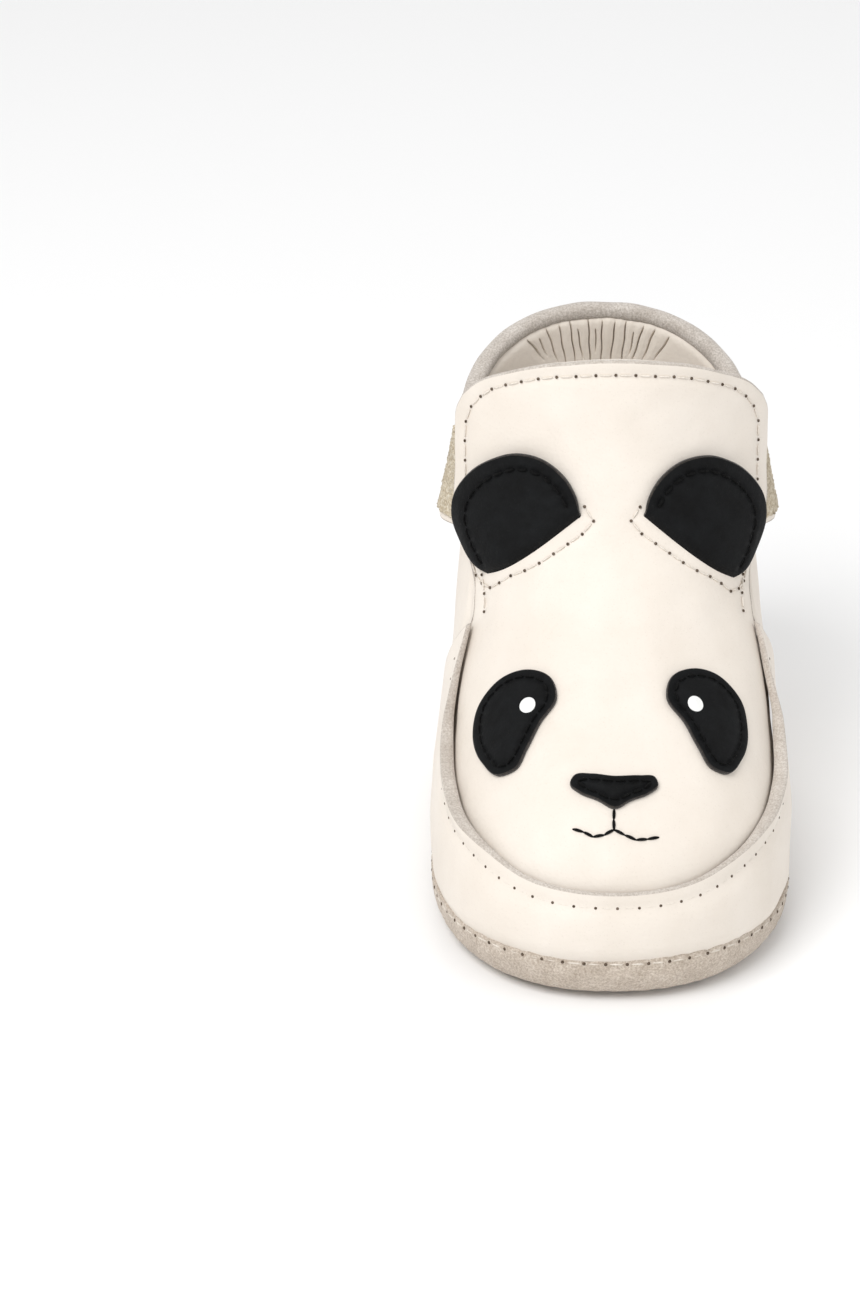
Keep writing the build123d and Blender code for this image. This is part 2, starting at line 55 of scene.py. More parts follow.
# ---- the body's form: a horizontal section at each height, as in the CAD
HEIGHTS = np.array([0, 2, 5, 10, 17, 24, 32, 42, 52, 62, 74, 94], float)
TOE_Y = [-54.8, -58.6, -60.6, -61.4, -60.6, -57.0, -48.5, -35.0, -22.0, -13.5, -8.5, -5.0]
HEEL_Y = [57.4, 60.0, 61.4, 62.2, 62.2, 61.5, 60.3, 58.6, 57.2, 56.4, 56.2, 57.0]
HALF_WIDTH = [27.2, 28.9, 29.6, 29.8, 29.7, 29.0, 27.9, 27.0, 26.2, 25.5, 25.3, 25.6]
WIDEST_Y = [-20.0, -20.0, -20.0, -20.0, -19.0, -16.0, -8.0, 5.0, 16.0, 23.0, 27.0, 28.0]
TOE_POWER = [2.3, 2.3, 2.3, 2.3, 2.3, 2.25, 2.2, 2.15, 2.1, 2.1, 2.1, 2.1]
HEEL_POWER = [2.4, 2.4, 2.4, 2.4, 2.4, 2.35, 2.3, 2.25, 2.2, 2.2, 2.2, 2.2]
TOE_SWING = 1.2
WING_FLARE, FLARE_LOW, FLARE_HIGH = 5.6, 48.0, 64.0

# ---- edge lines in the side view, as (y, z)
SOLE_EDGE = [(-70, 8.9), (-60, 8.6), (-45, 7.2), (-25, 5.2), (0, 4.6), (70, 4.6)]
BAND_EDGE = [(-70, 19.4), (-59, 20.5), (-52, 22.0), (-45, 23.3), (-37, 24.9), (-29, 27.6),
             (-22, 31.8), (-15.5, 37.6), (-9.6, 45.2)]
BAND_END = [(3, 4.8), (1.0, 14), (-3.2, 30), (-9.6, 45.2)]
PANEL_SIDE = [(-8.8, 39.4), (-9.9, 41.5), (-8.6, 44.8), (-5.6, 47.6), (-2.0, 51.2), (1.4, 55.8),
              (4.6, 61.2), (7.2, 67), (9.2, 72.5), (9.8, 76.5), (8.2, 80.2)]
PANEL_CROWN = [(8.2, 80.2), (4.4, 84.2), (-0.2, 87.6), (-3.2, 89.9), (-4.9, 91.1), (-5.4, 91.6)]
QUARTER_TOP = [(-9.3, 46.0), (-4.0, 50.2), (-0.6, 52.8), (5, 53.8), (23.4, 54.0),
               (23.9, 55.0), (24.1, 68.0), (24.4, 69.4)]
COLLAR_TOP = [(24, 71.2), (32, 71.9), (40, 73.8), (48, 76.4), (56, 79.5), (66, 83.6)]
SIDE_SEAM = [(2, 0), (0, 14), (-4, 30), (-9.6, 46.4)]
STRAP_LOW, STRAP_HIGH = 54.6, 71.2
UNDER_COLLAR = 1.8          # from the collar's top down to the quarter's edge

# ---- the face, on a plane that lies along the vamp
FACE_MIDDLE = -1.0
EYE_OUTLINE = [(14.0, 11.6), (10.2, 9.4), (9.3, 5.4), (12.1, 1.2), (14.2, -3.2), (16.2, -6.6),
               (18.6, -6.9), (21.2, -3.4), (22.6, 3.0), (21.4, 8.3), (18.0, 11.3)]
HIGHLIGHT_AT = (13.7, 4.7)
HIGHLIGHT_RADIUS = 1.3
NOSE_OUTLINE = [(0, -9.95), (4.2, -9.75), (6.6, -9.9), (7.0, -11.2), (5.6, -12.6), (2.6, -14.0),
                (0, -15.4), (-2.6, -14.0), (-5.6, -12.5), (-7.0, -11.0), (-6.4, -9.7), (-3.6, -9.5)]
MOUTH_LINES = [[(-0.1, -15.6), (-0.2, -17.4), (-0.2, -19.2)],
               [(-0.2, -19.2), (-2.3, -20.3), (-4.2, -20.3), (-5.5, -19.3), (-6.9, -18.9)],
               [(-0.2, -19.2), (2.1, -20.3), (4.6, -21.0), (5.8, -20.4), (7.2, -20.2)]]

# ---- ears in the front view, as (distance from the middle, z)
EAR_MIDDLE = -0.45
EAR_SLIT = [(5.4, 65.3), (21.0, 53.0)]
EAR_CURVE = [(20.9, 52.8), (23.7, 55.2), (25.5, 58.4), (25.9, 62.4), (23.7, 67.8), (19.7, 72.5),
             (15.6, 74.7), (11.6, 74.5), (8.2, 72.2), (6.2, 69.0), (5.4, 65.3)]
EAR_SEWN = [(21.4, 55.0), (23.3, 58.6), (23.9, 62.4), (22.0, 67.0), (18.5, 70.8), (15.2, 72.6),
            (12.0, 72.4), (9.2, 70.4), (7.4, 67.4)]
SLIT_SEAM = [(4.8, 67.4), (3.2, 65.4), (5.0, 63.4), (8.3, 61.2), (13.8, 57.3), (18.4, 54.2),
             (21.2, 51.3), (23.4, 51.0), (24.2, 52.8)]

# ---- creases in the gathered lining of the heel: distance from the middle at their top and
# ---- low end, start below the collar, and length
HEEL_CREASES = [(-15.4, -11.6, 0.4, 6.0), (-12.9, -10.9, 1.5, 4.5), (-11.3, -8.6, 0.2, 8.0),
                (-8.7, -6.9, 0.4, 9.0), (-6.5, -5.0, 0.0, 9.5), (-4.9, -3.6, 1.8, 6.5),
                (-2.7, -2.0, 0.0, 11.0), (-1.2, -1.0, 2.0, 5.0), (0.1, 0.1, 0.4, 10.0),
                (2.8, 1.8, 0.6, 9.5), (5.0, 4.0, 0.3, 10.0), (6.6, 5.7, 2.2, 5.0),
                (8.5, 6.0, 0.6, 8.5), (10.8, 8.2, 0.5, 7.5), (13.8, 10.4, 0.8, 6.5)]

# ---- folds that the elastic gathers at the back: middle and half height below the collar, reach
# ---- to each side in radians, and folds in that reach
GATHER_DROP, GATHER_SPREAD, GATHER_REACH, GATHER_FOLDS = 9.0, 6.5, 0.95, 13

# ---- leather, linings and thread
PANEL_THICK = 1.15          # vamp and tongue
QUARTER_THICK = 1.1
PATCH_THICK = 0.85
EAR_THICK = 1.2
LINING_THICK = 0.5
TONGUE_LINING_THICK = 0.45
PATCH_FACE = 0.85           # outer face of an eye or the nose over the vamp's face
TONGUE_LINING_AT = -1.55    # the linings' outer faces, from the body's form
TOE_LINING_AT = -1.5
SIDE_LINING_AT = -1.6
HEEL_LINING_AT = -2.1
PANEL_UNDER_BAND = 4.5      # how far the vamp reaches down under the toe band
CREAM_STITCH, FACE_STITCH, EAR_STITCH, MOUTH_STITCH = 0.17, 0.21, 0.24, 0.27
SOLE_PITCH, BAND_PITCH, TONGUE_PITCH, SLIT_PITCH = 3.6, 3.6, 3.4, 2.9
# radii of the dark discs of painted shade in the needle holes
NEEDLE_HOLE, SOLE_NEEDLE_HOLE = 0.28, 0.31

rng = np.random.default_rng(7)


# ---- curves
def hermite(t, knots, values):
    """Smooth curve through the values at the knots."""
    values = np.asarray(values, float)
    knots = np.asarray(knots, float)
    t = np.clip(np.asarray(t, float), knots[0], knots[-1])
    slopes = np.gradient(values, knots)
    i = np.clip(np.searchsorted(knots, t, side="right") - 1, 0, len(knots) - 2)
    span = knots[i + 1] - knots[i]
    s = (t - knots[i]) / span
    start, end = slopes[i] * span, slopes[i + 1] * span
    low, high = values[i], values[i + 1]
    return (low + s * start + s ** 2 * (3 * (high - low) - 2 * start - end)
            + s ** 3 * (2 * (low - high) + start + end))


def run_along(points):
    """Distance run along a polyline at each of its points."""
    return np.r_[0, np.cumsum(np.linalg.norm(np.diff(points, axis=0), axis=1))]


def unit(vectors):
    """Vectors scaled to a length of 1."""
    return vectors / (np.linalg.norm(vectors, axis=-1, keepdims=True) + 1e-12)


def smooth_step(t):
    """0 below 0, 1 above 1, and a smooth rise between."""
    t = np.clip(t, 0, 1)
    return t * t * (3 - 2 * t)


def curve(points, count):
    """Evenly spaced points on a smooth curve through the given ones."""
    points = np.asarray(points, float)
    chord = run_along(points)
    fine = np.linspace(0, chord[-1], count * 6)
    dense = np.stack([hermite(fine, chord, points[:, k]) for k in range(points.shape[1])], 1)
    return even(dense, count)


def even(points, count):
    """The same polyline with evenly spaced points."""
    run = run_along(points)
    at = np.linspace(0, run[-1], count)
    return np.stack([np.interp(at, run, points[:, k]) for k in range(points.shape[1])], 1)


def closed_curve(points, count):
    """Evenly spaced points on a smooth closed curve, the first repeated at the end."""
    around = np.array(points[-3:] + points + points[:4], float)
    chord = run_along(around)
    fine = np.linspace(chord[3], chord[3 + len(points)], count * 6)
    return even(np.stack([hermite(fine, chord, around[:, k]) for k in (0, 1)], 1), count)


def line_height(line, y):
    """Height of a side-view line at distances along the foot."""
    line = np.array(line, float)
    return hermite(y, line[:, 0], line[:, 1])


# ---- the body's surface
def flare(z):
    """How much wider than the ankle the tongue stands at a height."""
    return WING_FLARE * smooth_step((z - FLARE_LOW) / (FLARE_HIGH - FLARE_LOW))


def power_at(z, front):
    """Power of a section's superellipse before or behind its widest line."""
    return np.where(front, hermite(z, HEIGHTS, TOE_POWER), hermite(z, HEIGHTS, HEEL_POWER))


def axes(z, offset, wing):
    """Half width, depth to the toe, depth to the heel and widest line of a section."""
    toe_slope = hermite(z + 0.5, HEIGHTS, TOE_Y) - hermite(z - 0.5, HEIGHTS, TOE_Y)
    widest = hermite(z, HEIGHTS, WIDEST_Y)
    width = hermite(z, HEIGHTS, HALF_WIDTH) + offset + (flare(z) if wing else 0)
    toe = widest - hermite(z, HEIGHTS, TOE_Y) + offset * np.sqrt(1 + toe_slope ** 2)
    heel = hermite(z, HEIGHTS, HEEL_Y) - widest + offset
    return width, toe, heel, widest


def toe_swing(y):
    """How far the toe swings to the inner side at a distance along the foot."""
    return TOE_SWING * (np.clip(-y, 0, None) / 60) ** 2


def place(angle, z, offset=0.0, wing=False):
    """Points on the body. Angle 0 is the outer side and -pi/2 is the toe."""
    angle, z, offset = np.broadcast_arrays(*(np.asarray(v, float) for v in (angle, z, offset)))
    width, toe, heel, widest = axes(z, offset, wing)
    front = np.sin(angle) < 0
    power = power_at(z, front)
    across = np.sign(np.cos(angle)) * np.abs(np.cos(angle)) ** (2 / power)
    along = np.sign(np.sin(angle)) * np.abs(np.sin(angle)) ** (2 / power)
    y = widest + np.where(front, toe, heel) * along
    return np.stack([width * across - toe_swing(y), y, z], -1)


def section(y, z, offset, wing):
    """Half width of a section, and the share and power of its form at places along the foot."""
    width, toe, heel, widest = axes(z, offset, wing)
    front = y < widest
    return width, (y - widest) / np.where(front, toe, heel), power_at(z, front)


def angle_at(y, z, side):
    """Angle of the body's point on one side at a distance along the foot."""
    y, z = np.broadcast_arrays(np.asarray(y, float), np.asarray(z, float))
    _, share, power = section(y, z, 0.0, False)
    lean = np.arcsin(np.clip(np.abs(share), 0, 1) ** (power / 2)) * np.where(share < 0, -1, 1)
    return lean if side > 0 else -np.pi - lean


def side_domain(y, z, side):
    """(angle, z) of points on one side, from their places in the side view."""
    return np.stack([angle_at(y, z, side), z], -1)


def on_body(domain, offset=0.0, wing=False):
    """Points on the body for a grid or path of (angle, z)."""
    return place(domain[..., 0], domain[..., 1], offset, wing)


def angle_of_x(x, z, wing=False):
    """Angle of the body's front at a distance to the side."""
    width = axes(z, 0.0, wing)[0]
    power = hermite(z, HEIGHTS, TOE_POWER)
    share = np.clip(np.abs(x) / width, 0, 1)
    lean = np.arccos(share ** (power / 2))
    return np.where(np.asarray(x) >= 0, -lean, -np.pi + lean)


def on_front(x, z, offset=0.0, wing=False):
    """Points on the front of the body at distances to the side and heights."""
    swung = np.asarray(x, float)
    for _ in range(3):
        point = place(angle_of_x(swung, z, wing), z, 0.0, wing)
        swung = x + toe_swing(point[..., 1])
    return place(angle_of_x(swung, z, wing), z, offset, wing)


def on_face(x, v):
    """Points of the body's form under points of the face plane."""
    low, high = np.full(np.shape(x), 10.0), np.full(np.shape(x), 60.0)
    for _ in range(26):
        middle = (low + high) / 2
        y = on_front(x, middle)[..., 1]
        above = 0.8 * (y + 35) + 0.6 * (middle - 36) > v
        low, high = np.where(above, low, middle), np.where(above, middle, high)
    return on_front(x, low)


def coons(bottom, top, left, right):
    """Grid of flat points that fills four boundary curves."""
    u = np.linspace(0, 1, len(bottom))[None, :, None]
    v = np.linspace(0, 1, len(left))[:, None, None]
    across = (1 - v) * bottom[None] + v * top[None]
    upward = (1 - u) * left[:, None] + u * right[:, None]
    corners = ((1 - u) * (1 - v) * bottom[0] + u * (1 - v) * bottom[-1]
               + (1 - u) * v * top[0] + u * v * top[-1])
    return across + upward - corners


def rings_in(ring, count):
    """Rings of flat points from a closed outline's middle out to it."""
    middle = ring.mean(0)
    share = np.linspace(0.04, 1, count)[:, None, None]
    return middle + (ring - middle) * share


def waves(points, scale, seed):
    """Smooth irregular field between about -1 and 1 over points, from a few seeded waves."""
    local = np.random.default_rng(seed)
    total = np.zeros(points.shape[:-1])
    for _ in range(7):
        direction = local.normal(size=3)
        direction *= local.uniform(0.6, 1.6) / np.linalg.norm(direction) / scale
        total += np.sin(points @ direction * 2 * np.pi + local.uniform(0, 6.3))
    return total / 3.2


def relief(points):
    """How far the vamp and tongue swell out over the body's form at points on it."""
    toe = np.exp(-((points[..., 2] - 30) / 14) ** 2) * np.clip(-points[..., 1] / 50, 0, 1)
    return 0.5 * toe + 0.22 * waves(points, 26, 2) + 0.06 * waves(points, 9, 14) - 0.25


def lifted(path, height, wing):
    """Path on the vamp or tongue, raised to the leather's face and then by a height."""
    return path + surface_normals(path, wing) * (relief(path) + height)[:, None]


# ---- mesh builders
def normals_of(grid, wrap=False):
    """Outward unit normals of a grid of points."""
    if wrap:
        padded = np.concatenate([grid[:, -2:], grid, grid[:, :2]], 1)
        across = np.gradient(padded, axis=1)[:, 2:-2]
    else:
        across = np.gradient(grid, axis=1)
    return unit(np.cross(across, np.gradient(grid, axis=0)))


def make_mesh(name, points, faces, materials, indices=None):
    """Object from points in millimetres, smooth shaded."""
    mesh = bpy.data.meshes.new(name)
    mesh.from_pydata((np.asarray(points) * MM).tolist(), [], faces)
    for material in materials:
        mesh.materials.append(material)
    if indices is not None:
        mesh.polygons.foreach_set("material_index", indices)
    mesh.polygons.foreach_set("use_smooth", [True] * len(mesh.polygons))
    mesh.update()
    made = bpy.data.objects.new(name, mesh)
    bpy.context.scene.collection.objects.link(made)
    return made


def panel(name, grid, thickness, materials, wrap=False, roundness=0.5, disc=False, inner=None):
    """Closed sheet of leather or cloth: the grid is its outer face, and its edges are rounded.

    Materials are for the outer face, the cut edge and the inner face. A disc's first row is a
    small ring at its middle, closed by a cap. An inner face given as its own grid is used in
    place of the thickness.
    """
    steps = 4
    rows, cols = grid.shape[:2]
    if inner is None:
        inner = grid - normals_of(grid, wrap) * thickness
    loops = edge_loops(rows, cols, wrap)[1 if disc else 0:]
    points = [grid.reshape(-1, 3), inner.reshape(-1, 3)]
    count = 2 * rows * cols
    quads = grid_quads(rows, cols, wrap)
    faces = quads.tolist() + (quads[:, TURNED] + rows * cols).tolist()
    indices = [0] * len(quads) + [2] * len(quads)
    if disc:
        faces.append(tuple(range(cols))[::-1])
        faces.append(tuple(rows * cols + c for c in range(cols)))
        indices += [0, 2]
    for loop, inside in loops:
        ring = grid.reshape(-1, 3)[loop]
        away = ring - grid.reshape(-1, 3)[inside]
        far = inner.reshape(-1, 3)[loop]
        square = unit(ring - far)
        along = unit(np.roll(ring, -1, 0) - np.roll(ring, 1, 0))
        away -= square * (away * square).sum(1, keepdims=True)
        away -= along * (away * along).sum(1, keepdims=True) * 0.9
        away = unit(away)
        previous = loop
        other_way = wrap and loop[0] > 0
        half = np.linalg.norm(ring - far, axis=1, keepdims=True) / 2
        for step in range(1, steps):
            turn = math.pi * step / steps
            lift = math.copysign(abs(math.cos(turn)) ** 0.7, math.cos(turn))
            reach = math.sin(turn) ** 0.7 * roundness
            points.append((ring + far) / 2 + (ring - far) / 2 * lift + away * half * reach)
            current = count + np.arange(len(loop))
            count += len(loop)
            join_rings(faces, indices, previous, current, other_way)
            previous = current
        join_rings(faces, indices, previous, loop + rows * cols, other_way)
    return make_mesh(name, np.concatenate(points), faces, materials, indices)


# The corners of a quad in the other order, for a face that looks the other way.
TURNED = [0, 3, 2, 1]


def grid_quads(rows, cols, wrap):
    """Quads of a grid of vertices, whose columns may close into rings."""
    index = np.arange(rows * cols).reshape(rows, cols)
    if wrap:
        index = np.concatenate([index, index[:, :1]], 1)
    corners = [index[:-1, :-1], index[:-1, 1:], index[1:, 1:], index[1:, :-1]]
    return np.stack(corners, -1).reshape(-1, 4)


def edge_loops(rows, cols, wrap):
    """Boundary vertex loops of a grid, with the vertex just inside each."""
    index = np.arange(rows * cols).reshape(rows, cols)
    if wrap:
        return [(index[0], index[1]), (index[-1], index[-2])]

    def rim(cells):
        return np.concatenate([cells[0], cells[1:, -1], cells[-1, -2::-1], cells[-2:0:-1, 0]])

    return [(rim(index), rim(np.pad(index[1:-1, 1:-1], 1, mode="edge")))]


def join_rings(faces, indices, first, second, other_way):
    """Quads between two closed rings."""
    quads = np.stack([first, second, np.roll(second, -1), np.roll(first, -1)], 1)
    faces += (quads[:, TURNED] if other_way else quads).tolist()
    indices += [1] * len(quads)


def capped_rings(rows, count):
    """Faces of a closed form made of rings, with a cap on its first and last ring."""
    caps = [list(range(count))[::-1], list(range((rows - 1) * count, rows * count))]
    return grid_quads(rows, count, True).tolist() + caps


def tube_mesh(lines, radius):
    """Points and faces of round threads along lines of points, closed at both ends."""
    sides = 8
    points, faces, base = [], [], 0
    for line in lines:
        count = len(line)
        along = unit(np.gradient(line, axis=0))
        up = np.array([0.0, 0.0, 1.0]) if abs(along[count // 2][2]) < 0.9 else np.array([1.0, 0, 0])
        across = unit(np.cross(along, up))
        up = np.cross(across, along)
        taper = np.sin(np.linspace(0.12, np.pi - 0.12, count)) ** 0.35
        turns = 2 * np.pi * np.arange(sides)[::-1, None] / sides
        rings = across[:, None] * np.cos(turns) + up[:, None] * np.sin(turns)
        points.append((line[:, None] + rings * (radius * taper)[:, None, None]).reshape(-1, 3))
        faces += [tuple(base + k for k in face) for face in capped_rings(count, sides)]
        base += sides * count
    return np.concatenate(points), faces


def surface_normals(path, wing):
    """Outward normals of the body near points on it."""
    step = 0.2

    def depth(p):
        width, share, power = section(p[:, 1], p[:, 2], 0.0, wing)
        x = p[:, 0] + toe_swing(p[:, 1])
        return np.abs(x / width) ** power + np.abs(share) ** power

    normal = np.stack([depth(path + np.eye(3)[k] * step) - depth(path - np.eye(3)[k] * step)
                       for k in range(3)], 1)
    return unit(normal)


def stitch_line(name, paths, pitch, radius, materials, body, node, wing, lift, share,
                hole=0.0):
    """Rows of sewn stitches along paths: thread between needle holes, and at each a dimple, a low
    dark disc of painted shade.

    Share is the part of each pitch that the thread covers, and lift is the height of its arch.
    """
    lines, holes = [], []
    for path in paths:
        spots = even(path, max(round(run_along(path)[-1] / pitch), 1) + 1)
        normal = surface_normals(spots, wing)
        t = np.linspace(0.5 - share / 2, 0.5 + share / 2, 7)[:, None]
        arch = np.sin(np.linspace(0, np.pi, 7))[:, None]
        for a, b, na, nb in zip(spots, spots[1:], normal, normal[1:]):
            lines.append(a + (b - a) * t + (na + nb) / 2 * (lift * arch - radius * 0.45))
        holes.extend(zip(spots, normal))
    points, faces = tube_mesh(lines, radius)
    indices = [0] * len(faces)
    if hole:
        for spot, normal in holes:
            disc, disc_faces = dimple(spot, normal, hole, len(points))
            points = np.concatenate([points, disc])
            faces += disc_faces
            indices += [1] * len(disc_faces)
    made = make_mesh(name, points, faces, materials, indices)
    finish_piece(made, body, node)


def cream_stitches(name, paths, pitch, body, node, wing, hole=NEEDLE_HOLE):
    """Row of cream stitches, pulled nearly flat into the leather between needle holes painted dark as
    their shade.
    """
    stitch_line(name, paths, pitch, CREAM_STITCH, [CREAM_THREAD, HOLE_SHADE], body,
                node, wing, 0.02, 0.6, hole)


def black_stitches(name, paths, pitch, radius, body, node, wing, lift, share):
    """Row of black stitches that stand up off the leather."""
    stitch_line(name, paths, pitch, radius, [BLACK_THREAD], body, node, wing, lift,
                share)


def dimple(spot, normal, radius, base):
    """Low dark button that shows as the shadow in a needle hole."""
    side = unit(np.cross(normal, [0.3, 0.2, 0.93]))
    other = np.cross(normal, side)
    points, rings = [spot + normal * 0.10], [(0.55, 0.09), (0.9, 0.03), (1.0, -0.12)]
    for reach, lift in rings:
        for k in range(10):
            turn = 2 * math.pi * k / 10
            ring = side * math.cos(turn) + other * math.sin(turn)
            points.append(spot + ring * radius * reach + normal * lift)
    points.append(spot - normal * 0.14)
    faces = [(base, base + 1 + k, base + 1 + (k + 1) % 10) for k in range(10)]
    for r in range(len(rings) - 1):
        start = base + 1 + 10 * r
        faces += [(start + k, start + 10 + k, start + 10 + (k + 1) % 10, start + (k + 1) % 10)
                  for k in range(10)]
    start = base + 1 + 10 * (len(rings) - 1)
    end = base + len(points) - 1
    faces += [(end, start + (k + 1) % 10, start + k) for k in range(10)]
    return np.array(points), faces


def sink(grid, paths, depth, width, wrap=False):
    """Push a grid's outer face in along sewn lines."""
    spots = np.concatenate([even(p, max(int(len(p) * 2), 60)) for p in paths])
    flat = grid.reshape(-1, 3)
    near = np.full(len(flat), 1e9)
    for chunk in np.array_split(spots, max(len(spots) // 40, 1)):
        near = np.minimum(near, np.linalg.norm(flat[:, None] - chunk[None], axis=2).min(1))
    push = depth * np.exp(-(near / width) ** 2)
    return grid - normals_of(grid, wrap) * push.reshape(grid.shape[:2])[..., None]


# ---- materials
class Nodes:
    """Small helper that wires a material's nodes."""

    def __init__(self, name):
        self.material = bpy.data.materials.new(name)
        self.material.use_nodes = True
        self.tree = self.material.node_tree
        self.shader = self.tree.nodes["Principled BSDF"]
        self.where = self.tree.nodes.new("ShaderNodeTexCoord").outputs["Object"]
        self.last_bump = None

    def add(self, kind, links, values):
        """New node, with its linked inputs and its constant ones."""
        node = self.tree.nodes.new("ShaderNode" + kind)
        for socket, source in links.items():
            self.tree.links.new(source, node.inputs[socket])
        for socket, value in values.items():
            node.inputs[socket].default_value = value
        return node

    def noise(self, scale, detail=3.0, rough=0.55):
        values = {"Scale": scale, "Detail": detail, "Roughness": rough}
        return self.add("TexNoise", {"Vector": self.where}, values).outputs["Fac"]

    def cells(self, scale):
        node = self.add("TexVoronoi", {"Vector": self.where}, {"Scale": scale})
        return node.outputs["Distance"]

    def weave(self, scale, axis):
        values = {"Scale": scale, "Distortion": 1.2, "Detail": 2}
        node = self.add("TexWave", {"Vector": self.where}, values)
        node.bands_direction = axis
        return node.outputs["Fac"]

    def ramp(self, source, stops):
        node = self.add("ValToRGB", {"Fac": source}, {})
        band = node.color_ramp
        while len(band.elements) < len(stops):
            band.elements.new(0.5)
        for element, (position, colour) in zip(band.elements, stops):
            element.position = position
            element.color = (*colour, 1)
        return node.outputs["Color"]

    def multiply(self, amount, first, second):
        node = self.add("Mix", {}, {0: amount})
        node.data_type = "RGBA"
        node.blend_type = "MULTIPLY"
        self.tree.links.new(first, node.inputs[6])
        self.tree.links.new(second, node.inputs[7])
        return node.outputs[2]

    def bump(self, source, strength, distance):
        links = {"Height": source}
        if self.last_bump is not None:
            links["Normal"] = self.last_bump
        node = self.add("Bump", links, {"Strength": strength, "Distance": distance})
        self.last_bump = node.outputs["Normal"]
        self.tree.links.new(self.last_bump, self.shader.inputs["Normal"])

    def rough(self, source, low, high):
        node = self.add("MapRange", {"Value": source}, {"To Min": low, "To Max": high})
        self.tree.links.new(node.outputs["Result"], self.shader.inputs["Roughness"])

    def colour(self, source):
        self.tree.links.new(source, self.shader.inputs["Base Color"])

    def set(self, socket, value):
        self.shader.inputs[socket].default_value = value


def leather(name, dark, light, grain=0.25):
    """Soft smooth leather: faint cloudy colour, fine pores and a low satin gloss."""
    n = Nodes(name)
    cloud = n.ramp(n.noise(70, 4), [(0.3, dark), (0.7, light)])
    pores = n.ramp(n.cells(1500), [(0.0, (0.86, 0.85, 0.83)), (0.25, (1, 1, 1))])
    n.colour(n.multiply(0.5, cloud, pores))
    n.rough(n.noise(300, 3), 0.42, 0.6)
    n.bump(n.noise(160, 3), 0.25, 0.0004)
    n.bump(n.cells(1300), grain, 0.00012)
    n.bump(n.noise(2600, 2), grain * 0.6, 0.00006)
    n.set("Specular IOR Level", 0.4)
    return n.material


def suede(name, dark, middle, light, scale=1500, depth=0.8):
    """Raw flesh side of leather: fuzzy, mottled and without gloss."""
    n = Nodes(name)
    fleck = n.ramp(n.noise(scale, 5, 0.7), [(0.36, dark), (0.5, middle), (0.64, light)])
    patch = n.ramp(n.noise(220, 3), [(0.35, (0.82, 0.8, 0.78)), (0.65, (1, 1, 1))])
    n.colour(n.multiply(0.8, fleck, patch))
    n.rough(n.noise(900, 2), 0.85, 1.0)
    n.bump(n.noise(scale * 0.8, 6, 0.75), depth, 0.0003)
    n.set("Sheen Weight", 0.25)
    n.set("Sheen Roughness", 0.6)
    n.set("Specular IOR Level", 0.15)
    return n.material


def nubuck(name):
    """Black brushed leather with a faint bloom and a few lighter flecks."""
    n = Nodes(name)
    base = n.ramp(n.noise(260, 5, 0.65),
                  [(0.3, (0.0022, 0.0022, 0.0024)), (0.75, (0.008, 0.009, 0.010))])
    fleck = n.ramp(n.noise(2400, 3, 0.7), [(0.55, (0.5, 0.5, 0.5)), (0.8, (1.0, 1.0, 1.0))])
    n.colour(n.multiply(0.7, base, fleck))
    n.rough(n.noise(700, 3), 0.62, 0.85)
    n.bump(n.noise(420, 5, 0.7), 0.5, 0.0004)
    n.bump(n.noise(2800, 3), 0.5, 0.00012)
    n.set("Sheen Weight", 0.02)
    n.set("Specular IOR Level", 0.16)
    return n.material


def thread(name, dark, light, rough_low=0.45):
    """Twisted sewing thread."""
    n = Nodes(name)
    n.colour(n.ramp(n.noise(1800, 3), [(0.35, dark), (0.65, light)]))
    n.rough(n.noise(1200, 2), rough_low, rough_low + 0.2)
    n.bump(n.noise(3500, 2), 0.8, 0.00015)
    n.set("Specular IOR Level", 0.15)
    return n.material


def cloth(name, dark, light, scale=1700, depth=0.6):
    """Woven or brushed fabric: two crossed thread sets under a little fuzz."""
    n = Nodes(name)
    n.colour(n.ramp(n.noise(scale, 4), [(0.35, dark), (0.65, light)]))
    n.rough(n.noise(500, 2), 0.8, 0.95)
    for axis in ("X", "Z"):
        n.bump(n.weave(scale / 6, axis), depth, 0.00015)
    n.bump(n.noise(scale * 1.5, 4), depth * 0.6, 0.0001)
    n.set("Sheen Weight", 0.2)
    return n.material


CREAM = leather("cream_leather", (0.76, 0.69, 0.61), (0.82, 0.755, 0.68))
LINING = leather("lining_leather", (0.74, 0.67, 0.585), (0.81, 0.74, 0.66), 0.35)
WHITE = leather("white_dot", (0.80, 0.80, 0.78), (0.88, 0.88, 0.87))
EDGE = suede("raw_edge_suede", (0.50, 0.44, 0.38), (0.62, 0.56, 0.50), (0.74, 0.69, 0.63), 3000)
SOLE = suede("sole_suede", (0.46, 0.37, 0.29), (0.62, 0.53, 0.44), (0.78, 0.70, 0.61), 2600, 1.0)
ROLL = suede("collar_suede", (0.44, 0.39, 0.34), (0.60, 0.545, 0.49), (0.76, 0.71, 0.66), 3000, 0.9)
BLACK = nubuck("black_nubuck")
BLACK_EDGE = suede("black_cut_edge", (0.010, 0.008, 0.007), (0.022, 0.017, 0.014),
                   (0.05, 0.04, 0.032))
BLACK_THREAD = thread("black_thread", (0.001, 0.001, 0.001), (0.004, 0.004, 0.004), 0.7)
CREAM_THREAD = thread("cream_thread", (0.70, 0.64, 0.56), (0.82, 0.76, 0.69))
# painted shade: the dark brown colour of the needle holes stands in for the shadow inside them
HOLE_SHADE = thread("needle_hole_shade", (0.07, 0.05, 0.035), (0.16, 0.12, 0.09), 0.8)
LOOPS = suede("loop_tape", (0.40, 0.31, 0.19), (0.62, 0.53, 0.38), (0.80, 0.73, 0.60), 1900, 1.0)
HOOKS = cloth("hook_tape", (0.55, 0.50, 0.42), (0.74, 0.69, 0.60), 2400, 1.0)
INSOLE = cloth("insole_cloth", (0.55, 0.49, 0.41), (0.70, 0.64, 0.55))
FOAM = suede("pad_foam", (0.70, 0.69, 0.66), (0.78, 0.77, 0.74), (0.84, 0.83, 0.80))
